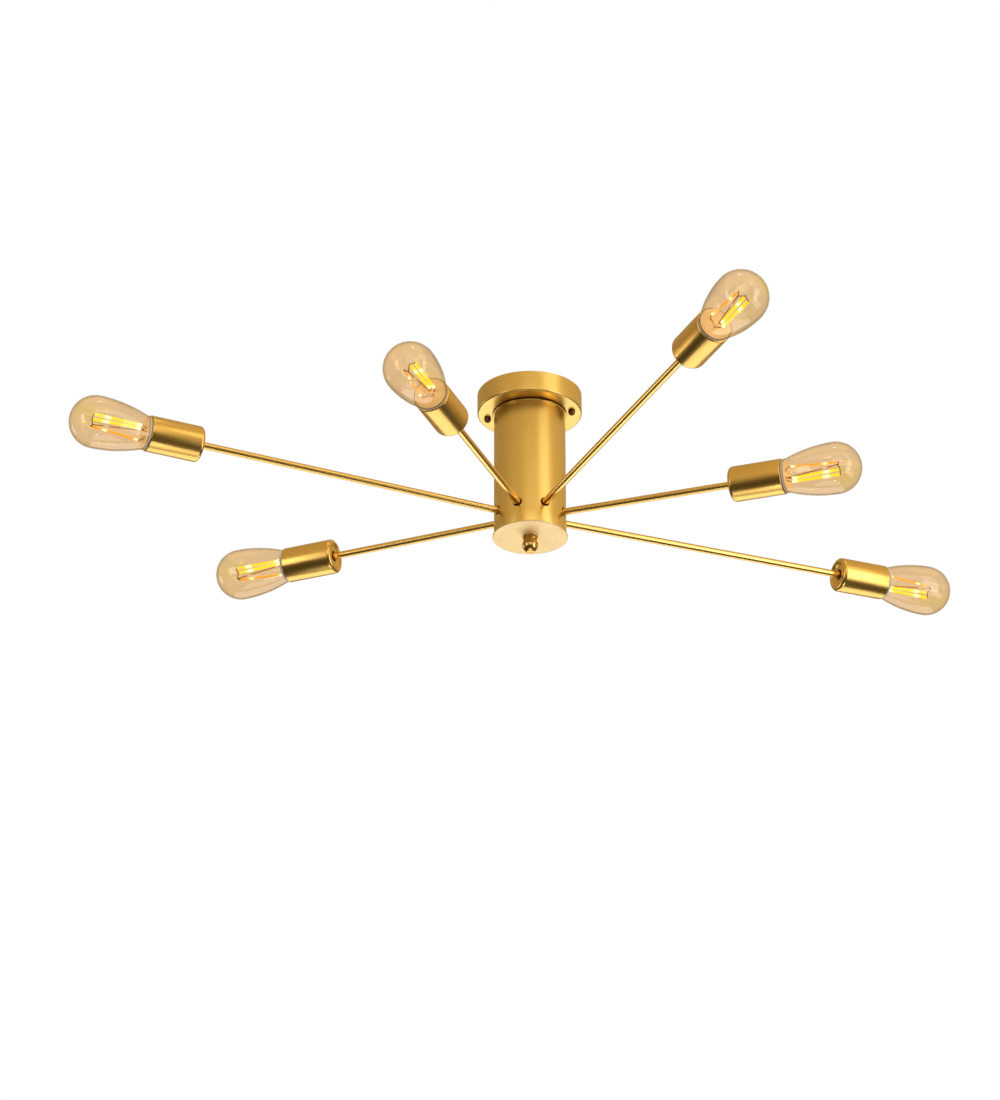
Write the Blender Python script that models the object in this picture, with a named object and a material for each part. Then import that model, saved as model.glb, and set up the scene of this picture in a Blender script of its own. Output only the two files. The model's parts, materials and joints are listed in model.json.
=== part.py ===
"""Semi-flush ceiling light: six bare-bulb arms that radiate from a vertical column under a round canopy.

Metres, +Z up. The ceiling is the plane Z = 0, the column hangs on the Z axis, and -Y is the front.
An azimuth is measured from the front (-Y) towards the right (+X).
Every lamp is built along its arm's own frame, whose +Z axis runs outwards along the arm.
"""

import math

import bmesh
import bpy
from mathutils import Vector

MM = 0.001
GAP = 0.3 * MM

# Canopy and the strip that it is screwed to
CANOPY_RADIUS = 60 * MM
CANOPY_HEIGHT = 24.8 * MM
CANOPY_WALL = 1.2 * MM
CANOPY_CORNER = 2.0 * MM
BRACKET_LENGTH = 111 * MM
BRACKET_WIDTH = 19 * MM
BRACKET_THICKNESS = 2.0 * MM
SCREW_AZIMUTH = 78.0
SCREW_CIRCLE = 49 * MM
SCREW_SHANK = 2.1 * MM
SCREW_HEAD = 4.0 * MM
SCREW_HEAD_WAIST = 3.5 * MM
SCREW_HEAD_TIP = 2.2 * MM
SCREW_HEAD_HEIGHT = 4.4 * MM
SCREW_CLEARANCE = 0.35 * MM
SLOT_LENGTH = 18 * MM
SLOT_WIDTH = 5 * MM
SLOT_CENTRE = 30 * MM
BOSS_RADIUS = 6.4 * MM
BOSS_HEIGHT = 4.5 * MM

# Column
COLUMN_RADIUS = 40.9 * MM
COLUMN_WALL = 1.5 * MM
PLATE_RADIUS = 42.7 * MM
PLATE_THICKNESS = 1.8 * MM
PLATE_EDGE = 0.7 * MM
SPACER_RADIUS = 22 * MM
SPACER_HEIGHT = 1.2 * MM
SHOULDER_RADIUS = 40.1 * MM
SPIGOT_RADIUS = 39.0 * MM
SPIGOT_WALL = 1.4 * MM
SPIGOT_HEIGHT = 3.5 * MM
TOP_GROOVE = 1.0 * MM
BOTTOM_GROOVE = 0.3 * MM
COVER_FACE = -182.6 * MM

# Tie rod, its nut and the ball finial
PIPE_RADIUS = 5.0 * MM
PIPE_BORE = 3.6 * MM
PIPE_CLEARANCE = 0.4 * MM
PIPE_TOP = -13 * MM
PIPE_IN_FINIAL = 12.8 * MM
FINIAL_BORE_DEPTH = 13.6 * MM
NUT_ACROSS_FLATS = 17 * MM
NUT_HEIGHT = 5 * MM
FINIAL_COLLAR = 8.8 * MM
FINIAL_COLLAR_HEIGHT = 1.8 * MM
FINIAL_NECK = 7.7 * MM
FINIAL_BALL = 9.0 * MM
FINIAL_EDGE = 0.4 * MM

# Arms
ARM_LEVEL = -156.6 * MM
ARM_RADIUS = 4.0 * MM
ARM_BORE = 3.0 * MM
ARM_INNER_END = 24 * MM
ARM_HOLE_IN_COLUMN = 5.2 * MM
ARM_CLEARANCE = 0.36 * MM
CUTTER_REACH = 8 * MM
LONG_REACH = 396 * MM
SHORT_REACH = 239 * MM
# One row per arm: azimuth and tilt in degrees, and the distance from the column's axis to the cup's back.
# The arms stand 45 degrees apart, long and short in turn. The two places at the rear are empty.
ARMS = [
    (-67.5, 1.1, LONG_REACH),
    (-22.5, 0.9, SHORT_REACH),
    (22.5, 1.4, LONG_REACH),
    (67.5, -0.6, SHORT_REACH),
    (112.5, 0.9, LONG_REACH),
    (-112.5, -1.6, SHORT_REACH),
]
HUB_RADIUS = 36 * MM
HUB_INNER = 22 * MM
HUB_TOP = ARM_LEVEL + 7.5 * MM
HUB_BOTTOM = ARM_LEVEL - 8.0 * MM
HUB_FLOOR = 3.0 * MM

# Lamp holder. Lengths along the lamp are measured from the cup's back face.
CUP_RADIUS = 20 * MM
CUP_LENGTH = 61 * MM
CUP_WALL = 1.2 * MM
CUP_SHOULDER = 4.4 * MM
CUP_LIP_RADIUS = 14.8 * MM
CUP_LIP_HEIGHT = 0.25 * MM
CUP_DISH_RADIUS = 11.5 * MM
CUP_DISH_DEPTH = 2.6 * MM
CUP_BACK_HOLE = 6.4 * MM
ARM_IN_HOLDER = 6.7 * MM
CORE_RADIUS = 16.6 * MM
CORE_BACK_RADIUS = 11.5 * MM
CORE_SHOULDER = 7 * MM
CORE_BORE = 14.3 * MM
CORE_FLOOR = 10.5 * MM
CORE_END = 37.5 * MM
CORE_BOSS = 3 * MM
SHELL_INNER = 13.5 * MM
SHELL_THICKNESS = 0.5 * MM
SHELL_START = 12.5 * MM
SHELL_END = 38.7 * MM
SHELL_LIP = 15.2 * MM

# Bulb, E26 base
CONTACT_TIP = 11.5 * MM
CONTACT_RADIUS = 4.6 * MM
CONTACT_HEIGHT = 1.9 * MM
THREAD_CREST = 13.0 * MM
THREAD_ROOT = 12.3 * MM
THREAD_PITCH = 3.63 * MM
THREAD_START = 18.0 * MM
THREAD_TURNS = 4
BASE_END = 38.2 * MM
BASE_INNER = 11.9 * MM
BASE_NOSE = 5.2 * MM
GLASS_WALL = 0.8 * MM
GLASS_NECK = 12.9 * MM
GLASS_NECK_END = 44 * MM
GLASS_AT_MOUTH = 17.8 * MM
GLASS_RADIUS = 29.1 * MM
GLASS_BEYOND_MOUTH = 88.2 * MM
FILAMENT_WIRE = 0.9 * MM
FILAMENT_INNER = 66 * MM
FILAMENT_OUTER = 112 * MM
FILAMENT_SPREAD = 8.5 * MM

# Wiring
TRUNK_RADIUS = 2.2 * MM
TRUNK_OFFSET = 14 * MM
TRUNK_TOP = -6 * MM
WIRE_HOLE = 3.4 * MM
LEAD_RADIUS = 1.5 * MM
COLLAR_LEVEL = -130 * MM
COLLAR_RADIUS = 14 * MM
COLLAR_THICKNESS = 2.6 * MM

# Flat sides on each round piece
SIDES_LARGE = 28
SIDES_LAMP = 18
SIDES_SMALL = 12

SCREW_NAMES = ("canopy_screw_right", "canopy_screw_left")


def material(name, colour, roughness, metallic=0.0, alpha=1.0):
    made = bpy.data.materials.new(name)
    made.use_nodes = True
    shader = made.node_tree.nodes["Principled BSDF"]
    shader.inputs["Base Color"].default_value = (*colour, 1.0)
    shader.inputs["Roughness"].default_value = roughness
    shader.inputs["Metallic"].default_value = metallic
    shader.inputs["Alpha"].default_value = alpha
    return made


def finished(mesh_builder, name, surface):
    """The bmesh as a smooth-shaded object with sharp edges kept."""
    bmesh.ops.recalc_face_normals(mesh_builder, faces=mesh_builder.faces)
    mesh = bpy.data.meshes.new(name)
    mesh_builder.to_mesh(mesh)
    mesh_builder.free()
    mesh.shade_smooth()
    mesh.set_sharp_from_angle(angle=math.radians(35))
    made = bpy.data.objects.new(name, mesh)
    bpy.context.scene.collection.objects.link(made)
    if surface:
        mesh.materials.append(surface)
    return made


def turned(name, outline, sides, surface=None):
    """A body of revolution about Z. The outline is (radius, z) points.

    It is a closed loop, or it starts and ends on the axis.
    """
    builder = bmesh.new()
    points = [builder.verts.new((radius, 0, z)) for radius, z in outline]
    on_axis = outline[0][0] == 0 and outline[-1][0] == 0
    following = points[1:] if on_axis else points[1:] + points[:1]
    edges = [builder.edges.new(pair) for pair in zip(points, following)]
    bmesh.ops.spin(
        builder,
        geom=points + edges,
        axis=(0, 0, 1),
        cent=(0, 0, 0),
        angle=math.tau,
        steps=sides,
        use_merge=True,
    )
    bmesh.ops.remove_doubles(builder, verts=builder.verts, dist=0.001 * MM)
    return finished(builder, name, surface)


def extruded(name, loop, low, high, surface=None):
    """A flat outline of (x, y) points raised from low to high."""
    builder = bmesh.new()
    bottom = builder.faces.new([builder.verts.new((x, y, low)) for x, y in loop])
    raised = bmesh.ops.extrude_face_region(builder, geom=[bottom])
    top = [item for item in raised["geom"] if isinstance(item, bmesh.types.BMVert)]
    bmesh.ops.translate(builder, verts=top, vec=(0, 0, high - low))
    return finished(builder, name, surface)


def tube(name, points, radius, roundness, surface=None):
    """A round wire along points, as a mesh with closed ends. It has 4 + 2 * roundness sides."""
    curve = bpy.data.curves.new(name, "CURVE")
    curve.dimensions = "3D"
    curve.bevel_depth = radius
    curve.bevel_resolution = roundness
    curve.use_fill_caps = True
    spline = curve.splines.new("POLY")
    spline.points.add(len(points) - 1)
    for place, point in zip(spline.points, points):
        place.co = (*point, 1)
    guide = bpy.data.objects.new(name + "_guide", curve)
    bpy.context.scene.collection.objects.link(guide)
    graph = bpy.context.evaluated_depsgraph_get()
    mesh = bpy.data.meshes.new_from_object(guide.evaluated_get(graph))
    bpy.data.objects.remove(guide)
    builder = bmesh.new()
    builder.from_mesh(mesh)
    bpy.data.meshes.remove(mesh)
    bmesh.ops.remove_doubles(builder, verts=builder.verts, dist=0.001 * MM)
    return finished(builder, name, surface)


def arc(centre, radius, start, end, steps):
    """Points on a circle in the outline's plane. Angles in degrees from +radius towards +z."""
    angles = [math.radians(start + (end - start) * i / steps) for i in range(steps + 1)]
    return [
        (centre[0] + radius * math.cos(a), centre[1] + radius * math.sin(a))
        for a in angles
    ]


def combine(target, other, operation):
    other.hide_render = True
    other.display_type = "WIRE"
    modifier = target.modifiers.new(other.name, "BOOLEAN")
    modifier.operation = operation
    modifier.solver = "EXACT"
    modifier.object = other


def on_circle(azimuth, radius, z=0.0):
    angle = math.radians(azimuth)
    return Vector((radius * math.sin(angle), -radius * math.cos(angle), z))


def along_arm(azimuth, tilt, distance):
    """The point at that distance from the column's axis on an arm's centre line."""
    flat = distance * math.cos(math.radians(tilt))
    return on_circle(
        azimuth, flat, ARM_LEVEL + distance * math.sin(math.radians(tilt))
    )


def arm_frame(name, azimuth, tilt):
    """An empty on the column's axis at the arms' level, its +Z outwards along the arm."""
    empty = bpy.data.objects.new(name, None)
    bpy.context.scene.collection.objects.link(empty)
    empty.location = (0, 0, ARM_LEVEL)
    empty.rotation_euler = (math.radians(90 - tilt), 0, math.radians(azimuth))
    return empty


def mount_on(child, frame, distance=0.0):
    child.parent = frame
    child.location = (0, 0, distance)


def bore_cutter(name, frame, radius, start, end):
    cutter = turned(
        name,
        [(0, start), (radius, start), (radius, end), (0, end)],
        SIDES_SMALL,
    )
    mount_on(cutter, frame)
    return cutter


def stadium(centre_x, length, width, steps=5):
    """The (x, y) outline of a slot with round ends along X."""
    half = (length - width) / 2
    right = arc((centre_x + half, 0), width / 2, -90, 90, steps)
    left = arc((centre_x - half, 0), width / 2, 90, 270, steps)
    return right + left


# Ceiling strip, canopy and its two screws


def ceiling_bracket(surface):
    bar = extruded(
        "ceiling_bracket",
        stadium(0, BRACKET_LENGTH, BRACKET_WIDTH),
        -BRACKET_THICKNESS,
        0,
        surface,
    )
    bar.rotation_euler.z = math.radians(SCREW_AZIMUTH - 90)
    for side in (-1, 1):
        slot = extruded(
            f"slot_cutter_{side}",
            stadium(side * SLOT_CENTRE, SLOT_LENGTH, SLOT_WIDTH),
            -2 * BRACKET_THICKNESS,
            BRACKET_THICKNESS,
        )
        tapped = extruded(
            f"tapped_cutter_{side}",
            arc((side * SCREW_CIRCLE, 0), SCREW_SHANK + SCREW_CLEARANCE, 0, 330, 11),
            -2 * BRACKET_THICKNESS,
            BRACKET_THICKNESS,
        )
        for cutter in (slot, tapped):
            cutter.rotation_euler = bar.rotation_euler
            combine(bar, cutter, "DIFFERENCE")
    return bar


def canopy(surface):
    floor = -CANOPY_HEIGHT
    hole = PIPE_RADIUS + PIPE_CLEARANCE
    inner = CANOPY_RADIUS - CANOPY_WALL
    corner_centre = (CANOPY_RADIUS - CANOPY_CORNER, floor + CANOPY_CORNER)
    outline = [(inner, 0), (CANOPY_RADIUS, 0)]
    outline += arc(corner_centre, CANOPY_CORNER, 0, -90, 2)
    outline += [(hole, floor), (hole, floor + CANOPY_WALL)]
    outline += [(inner - CANOPY_CORNER / 2, floor + CANOPY_WALL)]
    outline += [(inner, floor + CANOPY_WALL + CANOPY_CORNER / 2)]
    cap = turned("canopy", outline, SIDES_LARGE, surface)
    boss_top = floor + BOSS_HEIGHT
    shank_hole = SCREW_SHANK + SCREW_CLEARANCE
    for side in (0, 180):
        boss = turned(
            f"boss_{side}",
            [
                (0, floor + CANOPY_WALL / 2),
                (BOSS_RADIUS, floor + CANOPY_WALL / 2),
                (BOSS_RADIUS, boss_top),
                (0, boss_top),
            ],
            SIDES_SMALL,
        )
        screw_hole = turned(
            f"screw_hole_{side}",
            [
                (0, floor - 1 * MM),
                (shank_hole, floor - 1 * MM),
                (shank_hole, boss_top + 1 * MM),
                (0, boss_top + 1 * MM),
            ],
            SIDES_SMALL,
        )
        place = on_circle(SCREW_AZIMUTH + side, SCREW_CIRCLE)
        boss.location = place
        screw_hole.location = place
        combine(cap, boss, "UNION")
        combine(cap, screw_hole, "DIFFERENCE")
    combine(cap, wire_hole("canopy_wire_hole"), "DIFFERENCE")
    return cap


def wire_hole(name):
    low = -40 * MM
    cutter = turned(name, [(0, low), (WIRE_HOLE, low), (WIRE_HOLE, 0), (0, 0)], 8)
    cutter.location = (0, TRUNK_OFFSET, -10 * MM)
    return cutter


def canopy_screw(name, azimuth, surface):
    seat = -CANOPY_HEIGHT - GAP
    tip = seat - SCREW_HEAD_HEIGHT
    outline = [
        (0, tip),
        (SCREW_HEAD_TIP, tip),
        (SCREW_HEAD_WAIST, tip + SCREW_HEAD_HEIGHT / 4),
        (SCREW_HEAD, seat - SCREW_HEAD_HEIGHT / 4),
        (SCREW_HEAD, seat),
        (SCREW_SHANK, seat),
        (SCREW_SHANK, -2 * GAP),
        (0, -2 * GAP),
    ]
    screw = turned(name, outline, SIDES_SMALL, surface)
    screw.location = on_circle(azimuth, SCREW_CIRCLE)
    return screw


# Column, tie rod, bottom cover and finial


def top_plate(surface):
    top = -CANOPY_HEIGHT - GAP
    disc_top = top - SPACER_HEIGHT
    disc_bottom = disc_top - PLATE_THICKNESS
    shoulder = disc_bottom - TOP_GROOVE
    hole = PIPE_RADIUS + PIPE_CLEARANCE
    rim = PLATE_RADIUS - PLATE_EDGE
    outline = [(hole, top), (SPACER_RADIUS, top), (SPACER_RADIUS, disc_top)]
    outline += arc((rim, disc_top - PLATE_EDGE), PLATE_EDGE, 90, 0, 1)
    outline += arc((rim, disc_bottom + PLATE_EDGE), PLATE_EDGE, 0, -90, 1)
    outline += [(SHOULDER_RADIUS, disc_bottom), (SHOULDER_RADIUS, shoulder)]
    outline += [(SPIGOT_RADIUS, shoulder), (SPIGOT_RADIUS, shoulder - SPIGOT_HEIGHT)]
    spigot_inner = SPIGOT_RADIUS - SPIGOT_WALL
    outline += [(spigot_inner, shoulder - SPIGOT_HEIGHT), (spigot_inner, disc_bottom)]
    outline += [(hole, disc_bottom)]
    plate = turned("top_plate", outline, SIDES_LARGE, surface)
    combine(plate, wire_hole("plate_wire_hole"), "DIFFERENCE")
    return plate


def column_tube(surface, frames):
    plate_depth = SPACER_HEIGHT + PLATE_THICKNESS + TOP_GROOVE
    top = -CANOPY_HEIGHT - GAP - plate_depth - GAP
    bottom = COVER_FACE + PLATE_THICKNESS + BOTTOM_GROOVE + GAP
    inner = COLUMN_RADIUS - COLUMN_WALL
    outline = [
        (inner, top),
        (COLUMN_RADIUS, top),
        (COLUMN_RADIUS, bottom),
        (inner, bottom),
    ]
    pipe = turned("column_tube", outline, SIDES_LARGE, surface)
    for number, frame in enumerate(frames, 1):
        cutter = bore_cutter(
            f"column_cutter_{number}",
            frame,
            ARM_HOLE_IN_COLUMN,
            COLUMN_RADIUS - CUTTER_REACH,
            COLUMN_RADIUS + CUTTER_REACH,
        )
        combine(pipe, cutter, "DIFFERENCE")
    return pipe


def arm_hub(surface, frames):
    hole = PIPE_RADIUS + PIPE_CLEARANCE
    outline = [
        (HUB_INNER, HUB_TOP),
        (HUB_RADIUS, HUB_TOP),
        (HUB_RADIUS, HUB_BOTTOM),
        (hole, HUB_BOTTOM),
        (hole, HUB_BOTTOM + HUB_FLOOR),
        (HUB_INNER, HUB_BOTTOM + HUB_FLOOR),
    ]
    ring = turned("arm_hub", outline, SIDES_LAMP, surface)
    for number, frame in enumerate(frames, 1):
        cutter = bore_cutter(
            f"hub_cutter_{number}",
            frame,
            ARM_RADIUS + ARM_CLEARANCE,
            HUB_INNER - CUTTER_REACH,
            HUB_RADIUS + CUTTER_REACH,
        )
        combine(ring, cutter, "DIFFERENCE")
    return ring


def threaded_pipe(surface):
    bottom = COVER_FACE - PIPE_IN_FINIAL
    outline = [
        (PIPE_BORE, PIPE_TOP),
        (PIPE_RADIUS, PIPE_TOP),
        (PIPE_RADIUS, bottom),
        (PIPE_BORE, bottom),
    ]
    return turned("threaded_pipe", outline, SIDES_SMALL, surface)


def pipe_nut(surface):
    bottom = -CANOPY_HEIGHT + CANOPY_WALL + GAP
    corner = NUT_ACROSS_FLATS / 2 / math.cos(math.radians(30))
    hexagon = arc((0, 0), corner, 0, 300, 5)
    nut = extruded("pipe_nut", hexagon, bottom, bottom + NUT_HEIGHT, surface)
    radius = PIPE_RADIUS + PIPE_CLEARANCE
    low = bottom - 1 * MM
    high = bottom + NUT_HEIGHT + 1 * MM
    bore = turned(
        "nut_bore",
        [(0, low), (radius, low), (radius, high), (0, high)],
        SIDES_SMALL,
    )
    combine(nut, bore, "DIFFERENCE")
    return nut


def bottom_cover(surface):
    face = COVER_FACE
    top = face + PLATE_THICKNESS
    shoulder = top + BOTTOM_GROOVE
    spigot_top = shoulder + SPIGOT_HEIGHT
    spigot_inner = SPIGOT_RADIUS - SPIGOT_WALL
    hole = PIPE_RADIUS + PIPE_CLEARANCE
    rim = PLATE_RADIUS - PLATE_EDGE
    outline = [(hole, face)]
    outline += arc((rim, face + PLATE_EDGE), PLATE_EDGE, -90, 0, 1)
    outline += arc((rim, top - PLATE_EDGE), PLATE_EDGE, 0, 90, 1)
    outline += [(SHOULDER_RADIUS, top), (SHOULDER_RADIUS, shoulder)]
    outline += [(SPIGOT_RADIUS, shoulder), (SPIGOT_RADIUS, spigot_top)]
    outline += [(spigot_inner, spigot_top), (spigot_inner, top), (hole, top)]
    return turned("bottom_cover", outline, SIDES_LARGE, surface)


def finial(surface):
    bore = PIPE_RADIUS + PIPE_CLEARANCE
    neck_angle = math.degrees(math.acos(FINIAL_NECK / FINIAL_BALL))
    outline = [(0, -FINIAL_BORE_DEPTH), (bore, -FINIAL_BORE_DEPTH), (bore, -GAP)]
    outline += [(FINIAL_COLLAR - FINIAL_EDGE, -GAP), (FINIAL_COLLAR, -GAP - FINIAL_EDGE)]
    outline += [(FINIAL_COLLAR, -FINIAL_COLLAR_HEIGHT)]
    outline += [(FINIAL_NECK, -FINIAL_COLLAR_HEIGHT - FINIAL_EDGE)]
    outline += arc((0, -FINIAL_BALL), FINIAL_BALL, neck_angle, -80, 8)
    outline += [(0, -2 * FINIAL_BALL)]
    ball = turned("finial", outline, SIDES_LAMP, surface)
    ball.location = (0, 0, COVER_FACE)
    return ball


# Arm and lamp holder


def arm_tube(name, reach, surface):
    end = reach + ARM_IN_HOLDER
    outline = [
        (ARM_BORE, ARM_INNER_END),
        (ARM_RADIUS, ARM_INNER_END),
        (ARM_RADIUS, end),
        (ARM_BORE, end),
    ]
    return turned(name, outline, SIDES_SMALL, surface)


def socket_cup(name, surface):
    side = CUP_RADIUS - CUP_WALL
    back = CUP_RADIUS - CUP_SHOULDER
    inner_shoulder = CUP_SHOULDER - CUP_WALL
    dish_inside = CUP_DISH_DEPTH + CUP_WALL
    outline = [(CUP_BACK_HOLE, dish_inside), (CUP_BACK_HOLE, CUP_DISH_DEPTH)]
    outline += [(CUP_DISH_RADIUS, CUP_DISH_DEPTH), (CUP_LIP_RADIUS, CUP_LIP_HEIGHT)]
    outline += arc((back, CUP_SHOULDER), CUP_SHOULDER, -90, 0, 4)
    outline += arc((side, CUP_LENGTH - CUP_WALL), CUP_WALL, 0, 90, 2)
    outline += arc((back, CUP_SHOULDER), inner_shoulder, 0, -90, 2)
    outline += [(CUP_DISH_RADIUS + CUP_WALL / 3, dish_inside)]
    return turned(name, outline, SIDES_LAMP, surface)


def socket_core(name, surface):
    back = CUP_DISH_DEPTH + CUP_WALL + GAP
    arm_bore = ARM_RADIUS + ARM_CLEARANCE
    arm_stop = ARM_IN_HOLDER + GAP
    boss_top = CONTACT_TIP - GAP
    outline = [(0, arm_stop), (arm_bore, arm_stop), (arm_bore, back)]
    outline += [(CORE_BACK_RADIUS, back), (CORE_RADIUS, CORE_SHOULDER)]
    outline += [(CORE_RADIUS, CORE_END), (CORE_BORE, CORE_END), (CORE_BORE, CORE_FLOOR)]
    outline += [(CORE_BOSS, CORE_FLOOR), (CORE_BOSS, boss_top), (0, boss_top)]
    return turned(name, outline, SIDES_SMALL, surface)


def socket_shell(name, surface):
    outer = SHELL_INNER + SHELL_THICKNESS
    lip = SHELL_END - SHELL_THICKNESS
    outline = [(SHELL_INNER, SHELL_START), (outer, SHELL_START), (outer, lip - GAP)]
    outline += [(SHELL_LIP, lip), (SHELL_LIP, SHELL_END), (SHELL_INNER, SHELL_END)]
    return turned(name, outline, SIDES_SMALL, surface)


# Bulb


def bulb_contact(name, surface):
    top = CONTACT_TIP + CONTACT_HEIGHT
    outline = [
        (0, CONTACT_TIP),
        (0.65 * CONTACT_RADIUS, CONTACT_TIP + 0.2 * CONTACT_HEIGHT),
        (CONTACT_RADIUS, CONTACT_TIP + 0.6 * CONTACT_HEIGHT),
        (CONTACT_RADIUS, top),
        (0, top),
    ]
    return turned(name, outline, 10, surface)


def bulb_base(name, surface):
    start = CONTACT_TIP + CONTACT_HEIGHT + GAP
    outline = [(0, start), (BASE_NOSE, start), (THREAD_ROOT, THREAD_START - 1 * MM)]
    for turn in range(THREAD_TURNS):
        crest = THREAD_START + turn * THREAD_PITCH
        outline += [(THREAD_CREST, crest), (THREAD_ROOT, crest + THREAD_PITCH / 2)]
    rim_start = THREAD_START + THREAD_TURNS * THREAD_PITCH
    outline += [(THREAD_CREST, rim_start), (THREAD_CREST, BASE_END)]
    outline += [(BASE_INNER, BASE_END), (BASE_INNER, THREAD_START), (0, THREAD_START)]
    return turned(name, outline, SIDES_SMALL, surface)


def glass_profile(distance):
    """The glass's outer radius at a distance from the cup's back, from neck to round end."""
    beyond = distance - CUP_LENGTH
    belly = GLASS_BEYOND_MOUTH - GLASS_RADIUS
    slope = 2 * (GLASS_RADIUS - GLASS_AT_MOUTH) / belly
    if beyond > belly:
        return math.sqrt(max(0, GLASS_RADIUS**2 - (beyond - belly) ** 2))
    if beyond > 0:
        return GLASS_AT_MOUTH + slope * beyond * (1 - beyond / (2 * belly))
    flare = CUP_LENGTH - GLASS_NECK_END
    share = max(0, 1 + beyond / flare)
    linear = 2 * (GLASS_AT_MOUTH - GLASS_NECK) - slope * flare
    curved = GLASS_AT_MOUTH - GLASS_NECK - linear
    return GLASS_NECK + linear * share + curved * share**2


def bulb_glass(name, surface):
    """A pear-shaped shell, open at the neck, as one wall with an inner and an outer face."""
    start = BASE_END + GAP
    belly = CUP_LENGTH + GLASS_BEYOND_MOUTH - GLASS_RADIUS
    sides = [GLASS_NECK_END, CUP_LENGTH, CUP_LENGTH + 14 * MM, CUP_LENGTH + 32 * MM]
    outer = [(GLASS_NECK, start)]
    outer += [(glass_profile(distance), distance) for distance in sides]
    outer += arc((0, belly), GLASS_RADIUS, 0, 75, 5)
    outer += [(0, belly + GLASS_RADIUS)]
    inner = [(glass_profile(distance) - GLASS_WALL, distance) for distance in sides[1:]]
    inner = [(GLASS_NECK - GLASS_WALL, start), *inner]
    inner += arc((0, belly), GLASS_RADIUS - GLASS_WALL, 0, 60, 2)
    inner += [(0, belly + GLASS_RADIUS - GLASS_WALL)]
    return turned(name, inner[::-1] + outer, SIDES_LAMP, surface)


def bulb_filament(name, surface):
    """The stem and four filament sticks, as one bent wire that zigzags from end to end."""
    spread = FILAMENT_SPREAD
    inner = 0.6 * spread
    points = [(-inner, 0, BASE_END - 12 * MM)]
    for corner, side in enumerate((-1, -0.35, 0.35, 1)):
        near = (side * inner, 0, FILAMENT_INNER)
        far = (side * spread, 0, FILAMENT_OUTER)
        points += [near, far] if corner % 2 == 0 else [far, near]
    return tube(name, points, FILAMENT_WIRE, 1, surface)


# Wiring


def wiring_harness(surface):
    """The supply trunk, the bundle round the tie rod and one lead down every arm, as one body."""
    ring = arc((COLLAR_RADIUS, COLLAR_LEVEL), COLLAR_THICKNESS, 0, 315, 7)
    harness = turned("wiring_harness", ring, SIDES_SMALL, surface)
    trunk_points = [
        (0, TRUNK_OFFSET + 4 * MM, TRUNK_TOP),
        (0, TRUNK_OFFSET, TRUNK_TOP - 8 * MM),
        (0, TRUNK_OFFSET, COLLAR_LEVEL),
    ]
    combine(harness, tube("trunk", trunk_points, TRUNK_RADIUS, 2), "UNION")
    for number, (azimuth, tilt, reach) in enumerate(ARMS, 1):
        points = [
            on_circle(azimuth, COLLAR_RADIUS, COLLAR_LEVEL),
            on_circle(azimuth, COLLAR_RADIUS, COLLAR_LEVEL - 12 * MM),
            on_circle(azimuth, COLLAR_RADIUS + 1.6 * MM, ARM_LEVEL + 5 * MM),
            along_arm(azimuth, tilt, HUB_INNER - 2 * MM),
            along_arm(azimuth, tilt, ARM_INNER_END + 3 * MM),
            along_arm(azimuth, tilt, reach + ARM_IN_HOLDER - 1 * MM),
        ]
        combine(harness, tube(f"lead_{number}", points, LEAD_RADIUS, 1), "UNION")
    return harness


def build():
    for old in list(bpy.data.objects):
        bpy.data.objects.remove(old)

    brass = material("satin_brass", (0.62, 0.39, 0.11), 0.32, 1.0)
    steel = material("zinc_steel", (0.55, 0.55, 0.56), 0.4, 1.0)
    bronze = material("dark_bronze", (0.16, 0.07, 0.03), 0.4, 1.0)
    porcelain = material("holder_core", (0.82, 0.80, 0.76), 0.45)
    nickel = material("nickel_shell", (0.66, 0.64, 0.58), 0.3, 1.0)
    amber = material("amber_glass", (0.86, 0.60, 0.33), 0.05, 0.0, 0.35)
    glow = material("filament_yellow", (1.0, 0.62, 0.05), 0.5)
    insulation = material("wire_insulation", (0.05, 0.05, 0.05), 0.5)

    frames = [
        arm_frame(f"arm_frame_{number}", azimuth, tilt)
        for number, (azimuth, tilt, _) in enumerate(ARMS, 1)
    ]

    ceiling_bracket(steel)
    canopy(brass)
    for side, name in enumerate(SCREW_NAMES):
        canopy_screw(name, SCREW_AZIMUTH + 180 * side, bronze)
    top_plate(brass)
    column_tube(brass, frames)
    arm_hub(steel, frames)
    threaded_pipe(steel)
    pipe_nut(steel)
    bottom_cover(brass)
    finial(brass)
    wiring_harness(insulation)

    for number, (frame, (_, _, reach)) in enumerate(zip(frames, ARMS), 1):
        mount_on(arm_tube(f"arm_tube_{number}", reach, brass), frame)
        mount_on(socket_cup(f"socket_cup_{number}", brass), frame, reach)
        mount_on(socket_core(f"socket_core_{number}", porcelain), frame, reach)
        mount_on(socket_shell(f"socket_shell_{number}", nickel), frame, reach)
        mount_on(bulb_contact(f"bulb_contact_{number}", nickel), frame, reach)
        mount_on(bulb_base(f"bulb_base_{number}", nickel), frame, reach)
        mount_on(bulb_glass(f"bulb_glass_{number}", amber), frame, reach)
        mount_on(bulb_filament(f"bulb_filament_{number}", glow), frame, reach)


build()
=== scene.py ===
"""Looks of the semi-flush ceiling light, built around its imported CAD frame.

Metres, +Z up, in the frame's own axes. The ceiling is the plane Z = 0, the column hangs on the Z axis,
and -Y is the front. Every lamp part is built along its arm's frame: +Z outwards, from the cup's back face.
"""

import json
import math

import bmesh
import bpy
from mathutils import Matrix, Vector


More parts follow.
